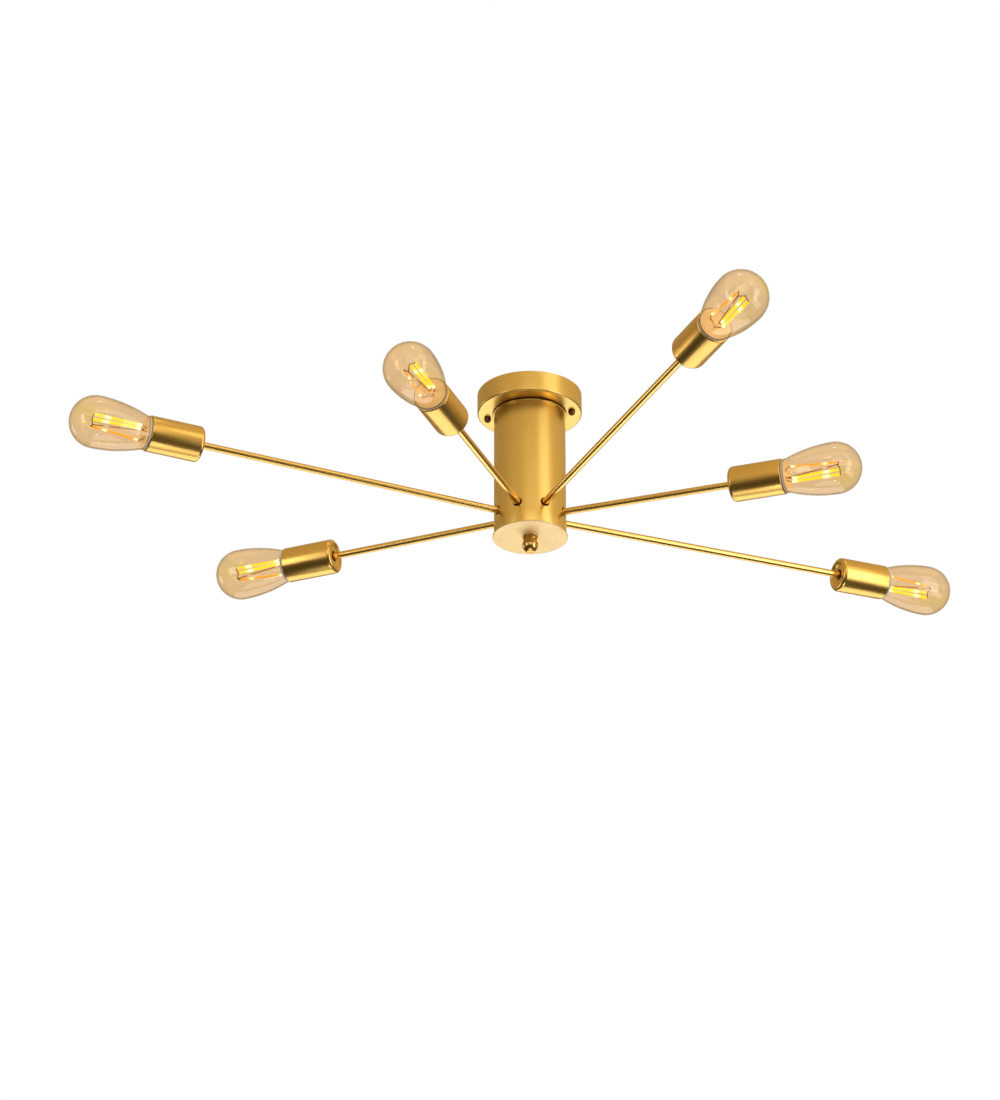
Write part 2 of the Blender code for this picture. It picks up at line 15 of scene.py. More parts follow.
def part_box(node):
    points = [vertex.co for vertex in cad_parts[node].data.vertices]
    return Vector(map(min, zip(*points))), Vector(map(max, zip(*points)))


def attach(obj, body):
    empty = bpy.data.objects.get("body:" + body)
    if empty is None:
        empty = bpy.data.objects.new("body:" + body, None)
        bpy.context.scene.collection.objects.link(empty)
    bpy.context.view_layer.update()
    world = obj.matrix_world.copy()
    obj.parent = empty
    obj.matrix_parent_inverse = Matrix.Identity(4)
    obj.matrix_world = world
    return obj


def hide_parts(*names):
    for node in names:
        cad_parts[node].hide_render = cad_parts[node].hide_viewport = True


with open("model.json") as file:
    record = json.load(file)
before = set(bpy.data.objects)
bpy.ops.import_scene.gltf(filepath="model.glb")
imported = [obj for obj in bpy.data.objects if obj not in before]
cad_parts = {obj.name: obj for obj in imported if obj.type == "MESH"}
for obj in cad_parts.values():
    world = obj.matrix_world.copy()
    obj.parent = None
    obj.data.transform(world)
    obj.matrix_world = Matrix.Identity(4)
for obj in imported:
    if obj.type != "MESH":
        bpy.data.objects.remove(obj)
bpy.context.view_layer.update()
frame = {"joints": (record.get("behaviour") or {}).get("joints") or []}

MM = 0.001
LAMPS = range(1, 7)
GAP = 0.3 * MM  # Clearance between neighbouring pieces

# Facets round each piece
ROUND_LARGE = 160
ROUND_LAMP = 96
ROUND_ARM = 64
ROUND_BORE = 48
ROUND_SMALL = 40

# Canopy, ceiling strip and screws
CANOPY_WALL = 1.2 * MM
CANOPY_CORNER = 2.0 * MM
STRIP_LENGTH = 111 * MM
STRIP_WIDTH = 19 * MM
STRIP_THICKNESS = 2.0 * MM
SLOT_LENGTH = 18 * MM
SLOT_WIDTH = 5 * MM
SLOT_CENTRE = 30 * MM
SCREW_CIRCLE = 49 * MM
SCREW_SHANK = 2.1 * MM
SCREW_HEAD = 4.0 * MM
SCREW_HEAD_HEIGHT = 4.4 * MM
BOSS_RADIUS = 6.4 * MM
BOSS_HEIGHT = 4.5 * MM

# Column
COLUMN_WALL = 1.5 * MM
PLATE_THICKNESS = 1.8 * MM
RING_THICKNESS = 1.45 * MM
PLATE_EDGE = 0.7 * MM
SPACER_RADIUS = 22 * MM
SPACER_HEIGHT = 1.2 * MM
SHOULDER_RADIUS = 40.1 * MM
SPIGOT_RADIUS = 39.0 * MM
SPIGOT_INNER = SPIGOT_RADIUS - 1.4 * MM
SPIGOT_HEIGHT = 3.5 * MM
TOP_GROOVE = 1.0 * MM
BOTTOM_GROOVE = 0.3 * MM
ROD_HOLE = 5.4 * MM
WIRE_HOLE = 3.4 * MM
TRUNK_OFFSET = 14 * MM
ARM_HOLE = 5.2 * MM
HUB_INNER = 22 * MM
HUB_FLOOR = 3.0 * MM
ROD_RADIUS = 5.0 * MM
ROD_BORE = 3.6 * MM
ROD_PITCH = 1.0 * MM
NUT_ACROSS_FLATS = 17 * MM
BALL_RADIUS = 9.0 * MM
BALL_NECK = 7.7 * MM
COLLAR_RADIUS = 8.8 * MM
COLLAR_HEIGHT = 1.8 * MM

# Arm and lamp holder, from the cup's back face
ARM_RADIUS = 4.0 * MM
ARM_BORE = 3.0 * MM
ARM_START = 24 * MM
ARM_IN_HOLDER = 6.7 * MM
CUP_RADIUS = 20 * MM
CUP_LENGTH = 61 * MM
CUP_WALL = 1.2 * MM
CUP_SHOULDER = 4.4 * MM
CUP_LIP_RADIUS = 14.8 * MM
CUP_DISH_RADIUS = 11.5 * MM
CUP_DISH_DEPTH = 2.6 * MM
CUP_BACK_HOLE = 6.4 * MM
CORE_RADIUS = 16.6 * MM
CORE_BACK = 11.5 * MM
CORE_SHOULDER = 7 * MM
CORE_BORE = 14.3 * MM
CORE_FLOOR = 10.5 * MM
CORE_END = 37.5 * MM
SHELL_RADIUS = 13.75 * MM
SHELL_START = 12.5 * MM
SHELL_END = 38.7 * MM

# Bulb, E26 base
CONTACT_TIP = 11.5 * MM
CONTACT_RADIUS = 4.6 * MM
CONTACT_HEIGHT = 1.9 * MM
THREAD_CREST = 13.0 * MM
THREAD_ROOT = 12.3 * MM
THREAD_PITCH = 3.63 * MM
THREAD_START = 17.6 * MM
THREAD_END = 33 * MM
BASE_END = 38.2 * MM
BASE_INNER = 11.9 * MM
GLASS_WALL = 0.8 * MM
GLASS_NECK = 12.9 * MM
GLASS_NECK_END = 44 * MM
GLASS_AT_MOUTH = 17.8 * MM
GLASS_RADIUS = 29.1 * MM
GLASS_BEYOND_MOUTH = 88.2 * MM

# Filament cage, in the bulb's own frame
NECK_PLATE_LEVEL = 64 * MM
STICK_START = 68 * MM
STICK_END = 124 * MM
# Each stick's inner and outer end beside the bulb's axis, and its radius, in millimetres, and its coat
STICKS = [
    ((-9.5, 1.5), (-5.6, 1.0), 1.2, "orange"),
    ((2.0, -6.0), (-3.6, -4.5), 0.8, "brown"),
    ((3.6, 2.5), (2.2, 2.0), 1.5, "bright"),
    ((7.2, -0.8), (7.8, -0.6), 1.6, "bright"),
]
CAP_RADIUS = 0.75 * MM
SUPPORT_RADIUS = 0.45 * MM
BRIDGE_RADIUS = 0.5 * MM
# The glass stem's radius and distance beyond the base's end, in millimetres
STEM = [(0, -4), (10.5, -4), (9, 0), (5.5, 8), (4.0, 14), (3.6, 19), (2.6, 22), (0, 23)]
# Painted glints along the sticks, a whiter, stronger glow that stands in for glossy highlights near their
# ends: the middle of each and its reach
GLINT_SPOTS = [(108.5 * MM, 6 * MM), (72 * MM, 5 * MM)]
# Towards a viewer in front and below, who sees the bright pair of sticks on the same side in every bulb
VIEWED_FROM = (0, -0.88, -0.48)
# Painted glow on the glass past the filament's outer end: a deeper yellow tint that stands in for the
# filament's light
GLOW_PATCH_CENTRE = (9 * MM, 0, 131 * MM)
GLOW_PATCH_REACH = 20 * MM

# Wiring
WIRE_TOP = -6 * MM
WIRE_RADIUS = 1.0 * MM
STRAND_RADIUS = 0.55 * MM
STRAND_LENGTH = 4 * MM
TWIST_RADIUS = 1.05 * MM
TWIST_RATE = 260  # Radians per metre
LEAD_RADIUS = 1.4 * MM
LOOM_LEVEL = -130 * MM
LOOM_RADIUS = 14 * MM
TAPE_RADIUS = 1.3 * MM
TAPE_SPACING = 1.6 * MM

# Camera, with its turns in degrees
CAMERA_PLACE = Vector((-0.1334, -3.5846, -1.9614))
CAMERA_LENS = 116.0
CAMERA_PITCH = 26.1823
CAMERA_YAW = 1.5869
CAMERA_ROLL = -0.0298

canopy_low, canopy_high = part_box("canopy")
column_low, column_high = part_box("column_tube")
cover_low, cover_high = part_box("bottom_cover")
hub_low, hub_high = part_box("arm_hub")
rod_low, rod_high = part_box("threaded_pipe")
nut_low, nut_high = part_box("pipe_nut")
CANOPY_RADIUS = canopy_high.x
CANOPY_FACE = canopy_low.z
COLUMN_RADIUS = column_high.x
PLATE_RADIUS = cover_high.x
PLATE_RIM = PLATE_RADIUS - PLATE_EDGE
COVER_FACE = cover_low.z
joints = {joint["name"]: joint for joint in frame["joints"]}


# Node materials

BUMP_HEIGHT = 0.05 * MM


def blank(name):
    """A new material's node tree, its shader and the material."""
    made = bpy.data.materials.new(name)
    made.use_nodes = True
    return made.node_tree, made.node_tree.nodes["Principled BSDF"], made


def feed(tree, node, inputs):
    """Sets each input to a value, or links it to the socket that feeds it."""
    for key, value in inputs.items():
        if isinstance(value, bpy.types.NodeSocket):
            tree.links.new(value, node.inputs[key])
        else:
            node.inputs[key].default_value = value


def add(tree, kind, inputs=None, **settings):
    """A new node with its inputs and settings."""
    made = tree.nodes.new("ShaderNode" + kind)
    for name, value in settings.items():
        setattr(made, name, value)
    feed(tree, made, inputs or {})
    return made


def relief(tree, depth, height, size=BUMP_HEIGHT):
    """A bump's normal."""
    inputs = {"Strength": depth, "Distance": size, "Height": height}
    return add(tree, "Bump", inputs).outputs[0]


def math_of(tree, operation, first, second=0.0):
    inputs = {0: first, 1: second}
    return add(tree, "Math", inputs, operation=operation).outputs[0]


def noise(tree, vector, scale, detail=3.0, roughness=0.55):
    inputs = {"Vector": vector, "Scale": scale, "Detail": detail, "Roughness": roughness}
    return add(tree, "TexNoise", inputs).outputs["Fac"]


def spread(tree, value, low, high, new_low, new_high):
    inputs = {0: value, 1: low, 2: high, 3: new_low, 4: new_high}
    return add(tree, "MapRange", inputs).outputs[0]


def vary(tree, grain, low, high):
    """A noise, which lies mostly between 0.3 and 0.7, stretched to run from low to high."""
    return spread(tree, grain, 0.3, 0.7, low, high)


def blend(tree, share, first, second):
    """The mix of two colours."""
    made = add(tree, "Mix", data_type="RGBA")
    for key, value in (("Factor", share), ("A", first), ("B", second)):
        socket = next(s for s in made.inputs if s.name == key and s.enabled)
        if isinstance(value, bpy.types.NodeSocket):
            tree.links.new(value, socket)
        else:
            socket.default_value = value
    return next(s for s in made.outputs if s.enabled)


def shade(colour, factor):
    """The colour made lighter or darker, with its alpha."""
    return (*(min(1.0, channel * factor) for channel in colour), 1.0)


def around(tree, ring_scale, length_scale):
    """The place, and seamless coordinates round the Z axis: the direction, lifted along the axis."""
    place = add(tree, "TexCoord").outputs["Object"]
    axes = add(tree, "SeparateXYZ", {0: place}).outputs
    flat = add(tree, "CombineXYZ", {0: axes[0], 1: axes[1]}).outputs[0]
    reach = add(tree, "VectorMath", {0: flat}, operation="LENGTH").outputs["Value"]
    turn = add(tree, "VectorMath", {0: flat}, operation="NORMALIZE").outputs[0]
    scaled = {0: turn, "Scale": ring_scale}
    turn = add(tree, "VectorMath", scaled, operation="SCALE").outputs[0]
    along = math_of(tree, "MULTIPLY", math_of(tree, "ADD", axes[2], reach), length_scale)
    lift = add(tree, "CombineXYZ", {2: along}).outputs[0]
    grain = add(tree, "VectorMath", {0: turn, 1: lift}, operation="ADD").outputs[0]
    return place, grain


def metal(name, colour, roughness, grain, depth=0.15, patina=0.05, wear=0.15):
    """Plated or lacquered metal. The grain is its scale round the axis and, per metre, along it."""
    tree, shader, made = blank(name)
    place, lines = around(tree, *grain)
    fine = noise(tree, lines, 1.0, 4.0)
    broad = noise(tree, place, 38.0, 3.0)
    specks = noise(tree, place, 900.0, 2.0)
    tone = blend(tree, vary(tree, broad, 0.0, 1.0), shade(colour, 1 - patina), shade(colour, 1 + patina))
    streaks = spread(tree, fine, 0.35, 0.65, 0.0, 0.5)
    tone = blend(tree, streaks, tone, shade(colour, 1 - 1.5 * patina))
    fine_share = math_of(tree, "MULTIPLY", fine, 0.6)
    worn = math_of(tree, "ADD", fine_share, math_of(tree, "MULTIPLY", broad, 0.4))
    rough = vary(tree, worn, roughness * (1 - wear), roughness * (1 + wear))
    height = math_of(tree, "ADD", fine, math_of(tree, "MULTIPLY", specks, 0.3))
    normal = relief(tree, depth, height)
    feed(tree, shader, {"Base Color": tone, "Metallic": 1.0, "Roughness": rough, "Normal": normal})
    return made


def solid(name, colour, roughness, speckle=0.06, scale=400.0, depth=0.1, coat=0.0, glow=None):
    """Ceramic, plastic or rubber, with a faint mottle. The glow is a colour and a strength."""
    tree, shader, made = blank(name)
    place = add(tree, "TexCoord").outputs["Object"]
    fine = noise(tree, place, scale, 4.0)
    broad = noise(tree, place, scale / 12, 2.0)
    tone = blend(tree, vary(tree, broad, 0.0, 1.0), shade(colour, 1 - speckle), shade(colour, 1 + speckle))
    rough = vary(tree, fine, roughness * 0.85, roughness * 1.15)
    normal = relief(tree, depth, fine)
    feed(tree, shader, {"Base Color": tone, "Roughness": rough, "Normal": normal, "Coat Weight": coat})
    if glow:
        feed(tree, shader, {"Emission Color": (*glow[0], 1.0), "Emission Strength": glow[1]})
    return made


def tinted_glass(name, centre_tint, rim_tint, glow_patch_tint=None):
    """Thin tinted glass: light goes straight through it, darker at the rim, where it also mirrors more.

    The patch is a soft deeper yellow tint round a line through the patch centre: a painted glow that stands
    in for the filament's light on the glass. The object's turn attribute turns it.
    """
    tree, shader, made = blank(name)
    tree.nodes.remove(shader)
    place = add(tree, "TexCoord").outputs["Object"]
    haze = noise(tree, place, 45.0, 3.0)
    edge_on = add(tree, "LayerWeight", {"Blend": 0.5}).outputs["Facing"]
    # The darker rim is partly the longer path through the glass and partly a painted reflection, standing
    # in for the dim surroundings that real glass bends into view at its edge
    rim = math_of(tree, "POWER", edge_on, 8.0)
    tint = blend(tree, rim, (*centre_tint, 1.0), (*rim_tint, 1.0))
    tint = blend(tree, vary(tree, haze, 0.0, 0.06), tint, (*rim_tint, 1.0))
    # Painted glow: a deeper yellow tint where the filament's light falls on the glass
    if glow_patch_tint:
        turn = add(tree, "Attribute", attribute_type="OBJECT", attribute_name="glow_patch_turn")
        turned_back = {"Vector": place, "Axis": (0, 0, 1), "Angle": turn.outputs["Fac"]}
        local = add(tree, "VectorRotate", turned_back, rotation_type="AXIS_ANGLE").outputs[0]
        axes = add(tree, "SeparateXYZ", {0: local}).outputs
        flat = add(tree, "CombineXYZ", {0: axes[0], 2: axes[2]}).outputs[0]
        offset = {0: flat, 1: GLOW_PATCH_CENTRE}
        away = add(tree, "VectorMath", offset, operation="DISTANCE").outputs["Value"]
        near = math_of(tree, "POWER", spread(tree, away, 0, GLOW_PATCH_REACH, 1.0, 0.0), 1.4)
        tint = blend(tree, near, tint, (*glow_patch_tint, 1.0))
    through = add(tree, "BsdfTransparent", {"Color": tint}).outputs[0]
    waves = relief(tree, 0.04, haze, 0.3 * MM)
    mirror = add(tree, "BsdfGlossy", {"Roughness": 0.03, "Normal": waves}).outputs[0]
    gloss = math_of(tree, "MULTIPLY", math_of(tree, "POWER", edge_on, 5.0), 0.6)
    gloss = math_of(tree, "ADD", gloss, 0.045)
    surface = add(tree, "MixShader", {0: gloss, 1: through, 2: mirror}).outputs[0]
    tree.links.new(surface, tree.nodes["Material Output"].inputs["Surface"])
    return made


def lit_filament(name, colour, power):
    """The coat of an LED filament stick, with a painted glint near each end: its glow turns whiter and
    stronger there, standing in for a glossy highlight.
    """
    tree, shader, made = blank(name)
    place = add(tree, "TexCoord").outputs["Object"]
    grain = noise(tree, place, 700.0, 3.0)
    distance = add(tree, "SeparateXYZ", {0: place}).outputs[2]
    glint_share = 0.0
    for spot, reach in GLINT_SPOTS:
        away = math_of(tree, "ABSOLUTE", math_of(tree, "SUBTRACT", distance, spot))
        near = spread(tree, away, 0.0, reach, 1.0, 0.0)
        glint_share = math_of(tree, "ADD", math_of(tree, "POWER", near, 1.5), glint_share)
    tone = blend(tree, vary(tree, grain, 0.0, 1.0), shade(colour, 0.9), shade(colour, 1.0))
    # Painted glint: the glow turns white near each end of the stick
    glow = blend(tree, glint_share, tone, (1.0, 0.95, 0.72, 1.0))
    glint_boost = math_of(tree, "ADD", math_of(tree, "MULTIPLY", glint_share, 1.4), 1.0)
    strength = math_of(tree, "MULTIPLY", glint_boost, power)
    feed(tree, shader, {"Base Color": tone, "Emission Color": glow, "Emission Strength": strength})
    feed(tree, shader, {"Roughness": vary(tree, grain, 0.25, 0.4), "Coat Weight": 0.5})
    return made


satin_brass = metal("satin_brass", (0.92, 0.63, 0.18), 0.33, (1.5, 2600), 0.05, 0.03, 0.08)
cup_brass = metal("cup_brass", (0.92, 0.585, 0.15), 0.28, (1.5, 400), 0.004, 0.02, 0.02)
arm_brass = metal("arm_brass", (0.95, 0.63, 0.19), 0.24, (0.8, 9), 0.002, 0.03, 0.02)
# Paler than the other brass: partly a paler, rougher finish, partly painted light for the strong light that
# the cover's downward face catches
cover_brass = metal("cover_brass", (1.0, 0.76, 0.40), 0.54, (1.5, 1800), 0.04, 0.02)
ball_brass = metal("ball_brass", (0.86, 0.53, 0.16), 0.24, (1.5, 2600), 0.01, 0.03, 0.03)
dark_bronze = metal("dark_bronze", (0.20, 0.085, 0.035), 0.38, (8, 900), 0.1, 0.12)
zinc_steel = metal("zinc_steel", (0.62, 0.62, 0.63), 0.36, (30, 400), 0.2, 0.08)
nickel = metal("nickel_shell", (0.74, 0.72, 0.67), 0.24, (2, 1500), 0.15, 0.05)
copper = metal("copper_strand", (0.82, 0.42, 0.24), 0.3, (20, 300), 0.2, 0.08)
solder = metal("solder", (0.60, 0.60, 0.62), 0.4, (8, 500), 0.3, 0.10)
dark_wire = metal("support_wire", (0.30, 0.20, 0.13), 0.35, (8, 300), 0.1, 0.10)
porcelain = solid("holder_porcelain", (0.86, 0.85, 0.81), 0.3, 0.03, 250.0, 0.1, 0.4)
black_glass = solid("base_glass", (0.03, 0.025, 0.03), 0.15, 0.2, 200.0, 0.1, 0.5)
black_sleeve = solid("black_insulation", (0.035, 0.035, 0.038), 0.45, 0.2)
white_sleeve = solid("white_insulation", (0.78, 0.77, 0.73), 0.45, 0.05)
# Pale ring at the bulb's neck: partly a silicone ring, partly a painted highlight where the glass curves
# into the cup
neck_silicone_and_highlight = solid("neck_silicone_and_highlight", (0.84, 0.85, 0.85), 0.35, 0.04, 300.0, 0.1, 0.3)
# Its last tint is a painted glow on the glass past the filament's outer end
amber_glass = tinted_glass("amber_glass", (0.960, 0.868, 0.735), (0.86, 0.80, 0.74), (0.95, 0.875, 0.64))
# The neck plate is pale and glows faintly, though it is no lamp: painted light that stands in for the lit
# glass seen down the neck
PLATE_PAINTED_GLOW = ((1.0, 0.82, 0.52), 0.35)
neck_plate = solid("neck_plate", (0.95, 0.80, 0.50), 0.4, 0.08, 180.0, 0.1, 0.3, PLATE_PAINTED_GLOW)
stem_glass = tinted_glass("stem_glass", (0.93, 0.84, 0.70), (0.60, 0.47, 0.32))
bright_coat = lit_filament("bright_coat", (1.0, 0.66, 0.035), 1.5)
orange_coat = lit_filament("orange_coat", (1.0, 0.46, 0.03), 0.95)
brown_coat = lit_filament("brown_coat", (0.62, 0.33, 0.08), 0.35)


# Mesh building

SHARP_ANGLE = 32


def finished(builder, name, surface=None, angle=SHARP_ANGLE):
    """The builder's faces as an object, shaded smooth up to the angle, in degrees."""
    bmesh.ops.recalc_face_normals(builder, faces=builder.faces)
    mesh = bpy.data.meshes.new(name)
    builder.to_mesh(mesh)
    builder.free()
    mesh.shade_smooth()
    mesh.set_sharp_from_angle(angle=math.radians(angle))
    made = bpy.data.objects.new(name, mesh)
    bpy.context.scene.collection.objects.link(made)
    if surface:
        mesh.materials.append(surface)
    return made


def turned(name, outline, surface=None, sides=ROUND_LAMP, ripple=None):
    """A body turned about Z from (radius, z) points: a closed loop, or a line from axis to axis.

    The ripple, a function of angle and z, is added to every radius.
    """
    builder = bmesh.new()
    rings = []
    for radius, z in outline:
        count = sides if radius else 1
        ring = []
        for step in range(count):
            angle = math.tau * step / sides
            reach = radius + (ripple(angle, z) if ripple and radius else 0.0)
            ring.append(builder.verts.new((reach * math.cos(angle), reach * math.sin(angle), z)))
        rings.append(ring)
    on_axis = outline[0][0] == 0 and outline[-1][0] == 0
    following = rings[1:] if on_axis else rings[1:] + rings[:1]
    for low, high in zip(rings, following):
        for step in range(sides):
            after = (step + 1) % sides
            corners = [low[step % len(low)], low[after % len(low)]]
            corners += [high[after % len(high)], high[step % len(high)]]
            corners = list(dict.fromkeys(corners))
            if len(corners) > 2:
                builder.faces.new(corners)
    return finished(builder, name, surface)


def drill(name, radius, low, high, sides):
    """A cylinder that cuts a hole."""
    return turned(name, [(0, low), (radius, low), (radius, high), (0, high)], sides=sides)


def arc(centre, radius, start, end, steps):
    """Points on a circle in the outline's plane. Angles in degrees from +radius towards +z."""
    angles = [math.radians(start + (end - start) * i / steps) for i in range(steps + 1)]
    return [(centre[0] + radius * math.cos(a), centre[1] + radius * math.sin(a)) for a in angles]


def levels(start, end, step):
    """Even levels from start to end, about a step apart."""
    count = max(1, round((end - start) / step))
    return [start + (end - start) * i / count for i in range(count + 1)]


def thread(height, pitch, start, end):
    """A right-hand helical ripple between start and end, fading out over half a pitch at each."""

    def ripple(angle, z):
        inside = min(z - start, end - z) / (pitch / 2)
        fade = min(1.0, max(0.0, inside))
        return fade * height / 2 * math.cos(math.tau * z / pitch - angle)

    return ripple


def extruded(name, loop, low, high, surface=None, edge=0.0):
    """A flat outline of (x, y) points raised from low to high, its edges rounded by edge."""
    builder = bmesh.new()
    bottom = builder.faces.new([builder.verts.new((x, y, low)) for x, y in loop])
    raised = bmesh.ops.extrude_face_region(builder, geom=[bottom])
    top = [item for item in raised["geom"] if isinstance(item, bmesh.types.BMVert)]
    bmesh.ops.translate(builder, verts=top, vec=(0, 0, high - low))
    if edge:
        rims = [e for e in builder.edges if abs(e.verts[0].co.z - e.verts[1].co.z) < 1e-9]
        bmesh.ops.bevel(builder, geom=rims, offset=edge, segments=3, profile=0.5, affect="EDGES")
    return finished(builder, name, surface)


def stadium(centre_x, length, width, steps=16):
    """The outline of a slot along X with round ends."""
    half = (length - width) / 2
    right = arc((centre_x + half, 0), width / 2, -90, 90, steps)
    left = arc((centre_x - half, 0), width / 2, 90, 270, steps)
    return right + left


def combine(target, cutters, operation="DIFFERENCE"):
    """Cuts the other bodies out of target, or joins them to it, for good."""
    for cutter in cutters:
        modifier = target.modifiers.new(cutter.name, "BOOLEAN")
        modifier.operation = operation
        modifier.solver = "EXACT"
        modifier.object = cutter
    graph = bpy.context.evaluated_depsgraph_get()
    mesh = bpy.data.meshes.new_from_object(target.evaluated_get(graph))
    target.modifiers.clear()
    target.data = mesh
    mesh.set_sharp_from_angle(angle=math.radians(SHARP_ANGLE))
    for cutter in cutters:
        bpy.data.objects.remove(cutter)


def smooth_path(points, steps=8):
    """A Catmull-Rom curve through the points."""
    ends = [2 * points[0] - points[1], *points, 2 * points[-1] - points[-2]]
    made = []
    for a, b, c, d in zip(ends, ends[1:], ends[2:], ends[3:]):
        for i in range(steps):
            t = i / steps
            square = 2 * a - 5 * b + 4 * c - d
            cube = 3 * b - a - 3 * c + d
            made.append(0.5 * (2 * b + (c - a) * t + square * t * t + cube * t**3))
    return [*made, points[-1]]


def wire(name, points, radius, surface, sides=16):
    """A round wire along the points, with domed ends."""
    builder = bmesh.new()
    across = (points[1] - points[0]).orthogonal().normalized()
    rings = []
    for i, point in enumerate(points):
        ahead = (points[min(i + 1, len(points) - 1)] - points[max(i - 1, 0)]).normalized()
        across = (across - across.dot(ahead) * ahead).normalized()
        beside = ahead.cross(across)
        sizes = [(0.0, 1.0)]
        if i == 0:
            sizes = [(-0.6, 0.55), (-0.3, 0.9), (0.0, 1.0)]
        if i == len(points) - 1:
            sizes = [(0.0, 1.0), (0.3, 0.9), (0.6, 0.55)]
        for shift, scale in sizes:
            ring = []
            for step in range(sides):
                angle = math.tau * step / sides
                out = across * math.cos(angle) + beside * math.sin(angle)
                place = point + ahead * shift * radius + out * radius * scale
                ring.append(builder.verts.new(place))
            rings.append(ring)
    for low, high in zip(rings, rings[1:]):
        for step in range(sides):
            after = (step + 1) % sides
            builder.faces.new((low[step], low[after], high[after], high[step]))
    builder.faces.new(rings[0][::-1])
    builder.faces.new(rings[-1])
    return finished(builder, name, surface, angle=50)


def joined(name, parts):
    """Several bodies of one material as one piece."""
    builder = bmesh.new()
    surface = parts[0].data.materials[0]
    for part in parts:
        part.data.transform(part.matrix_world)
        builder.from_mesh(part.data)
    for part in parts:
        bpy.data.objects.remove(part)
    return finished(builder, name, surface)


def keep(piece, body, slot_name, *nodes):
    """The piece rides on the body and stands for the CAD nodes."""
    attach(piece, body)
    if nodes:
        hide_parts(*nodes)
    return piece


def frame_on(origin, direction):
    """A frame at origin with +Z along direction and +X level."""
    outward = Vector(direction).normalized()
    level = Vector((-outward.y, outward.x, 0)).normalized()
    turn = Matrix((level, outward.cross(level), outward)).transposed()
    return Matrix.Translation(origin) @ turn.to_4x4()


# Where each lamp is, from the frame's own joints
lamp_frames = {}
for lamp in LAMPS:
    screw = joints[f"bulb_screw_{lamp}"]
    lamp_frames[lamp] = frame_on(Vector(screw["pos_m"]), screw["axis"])
# Where the arms' axes meet the column's, just above the hub's middle
ARM_LEVEL = (hub_low.z + hub_high.z) / 2 + 0.25 * MM


def arm_frame(lamp):
    """The lamp's frame moved back to the column's axis, and the distance between the two."""
    place = lamp_frames[lamp]
    outward = Vector(joints[f"bulb_screw_{lamp}"]["axis"]).normalized()
    origin = place.translation
    reach = Vector((origin.x, origin.y)).length / Vector((outward.x, outward.y)).length
    return frame_on(origin - outward * reach, outward), reach


def lamp_piece(lamp, name, outline, surface, body, slot_name, node=None, sides=ROUND_LAMP, ripple=None):
    """A turned piece in the lamp's frame. Its name, moving body and CAD node end in the lamp's number."""
    made = turned(f"{name}_{lamp}", outline, surface, sides, ripple)
    made.matrix_world = lamp_frames[lamp]
    nodes = [f"{node}_{lamp}"] if node else []
    return keep(made, body if body == "root" else f"{body}_{lamp}", slot_name, *nodes)


# Ceiling strip, canopy and screws


def screw_place(side):
    """The lowest point of the screw's axis, and its length."""
    low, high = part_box(f"canopy_screw_{side}")
    middle = (low + high) / 2
    return Vector((middle.x, middle.y, low.z)), high.z - low.z


def ceiling_strip():
    """The slotted bar, turned so that it carries both screws."""
    edge = 0.35 * MM
    loop = stadium(0, STRIP_LENGTH, STRIP_WIDTH, 24)
    bar = extruded("ceiling_strip", loop, -STRIP_THICKNESS, 0, zinc_steel, edge)
    cutters = []
    for side in (-1, 1):
        low, high = -2 * STRIP_THICKNESS, STRIP_THICKNESS
        slot_loop = stadium(side * SLOT_CENTRE, SLOT_LENGTH, SLOT_WIDTH)
        cutters.append(extruded(f"slot_{side}", slot_loop, low, high))
        tapped_loop = arc((side * SCREW_CIRCLE, 0), SCREW_SHANK + GAP, 0, 348.75, 31)
        cutters.append(extruded(f"tapped_{side}", tapped_loop, low, high))
    combine(bar, cutters)
    place, _ = screw_place("right")
    bar.rotation_euler.z = math.atan2(place.y, place.x)
    keep(bar, "root", "zinc_steel", "ceiling_bracket")


def canopy():
    floor = CANOPY_FACE
    inner = CANOPY_RADIUS - CANOPY_WALL
    corner = (CANOPY_RADIUS - CANOPY_CORNER, floor + CANOPY_CORNER)
    inside = CANOPY_CORNER - CANOPY_WALL
    edge = 0.3 * MM
    outline = [(inner + edge, 0), (CANOPY_RADIUS - edge, 0)]
    outline += [(CANOPY_RADIUS, -edge), (CANOPY_RADIUS, floor / 2)]
    outline += arc(corner, CANOPY_CORNER, 0, -90, 10)
    # Rings across the flat face keep its faces short
    outline += [(r * MM, floor) for r in (50, 42, 30, 18)]
    outline += [(ROD_HOLE, floor), (ROD_HOLE, floor + CANOPY_WALL)]
    outline += [(30 * MM, floor + CANOPY_WALL)]
    outline += arc((inner - inside, floor + CANOPY_WALL + inside), inside, -90, 0, 5)
    outline += [(inner, -edge)]
    cap = turned("canopy_cap", outline, satin_brass, ROUND_LARGE)
    bosses = []
    cutters = []
    for side in ("right", "left"):
        place, _ = screw_place(side)
        top = floor + BOSS_HEIGHT
        foot = floor + CANOPY_WALL / 2
        boss_outline = [(0, foot), (BOSS_RADIUS + 0.6 * MM, foot), (BOSS_RADIUS, floor + 2 * MM)]
        boss_outline += [(BOSS_RADIUS - 0.4 * MM, top), (0, top)]
        boss = turned(f"boss_{side}", boss_outline)
        shank = SCREW_SHANK + GAP
        screw_hole = drill(f"screw_hole_{side}", shank, floor - MM, top + MM, ROUND_SMALL)
        for body in (boss, screw_hole):
            body.location = (place.x, place.y, 0)
        bosses.append(boss)
        cutters.append(screw_hole)
    cutters.append(wire_hole())
    combine(cap, bosses, "UNION")
    combine(cap, cutters)
    keep(cap, "root", "satin_brass", "canopy")


def wire_hole():
    """The drill for the supply wires, through the canopy and the top ring."""
    cutter = drill("wire_hole", WIRE_HOLE, -40 * MM, 0, ROUND_SMALL)
    cutter.location = (0, TRUNK_OFFSET, -10 * MM)
    return cutter


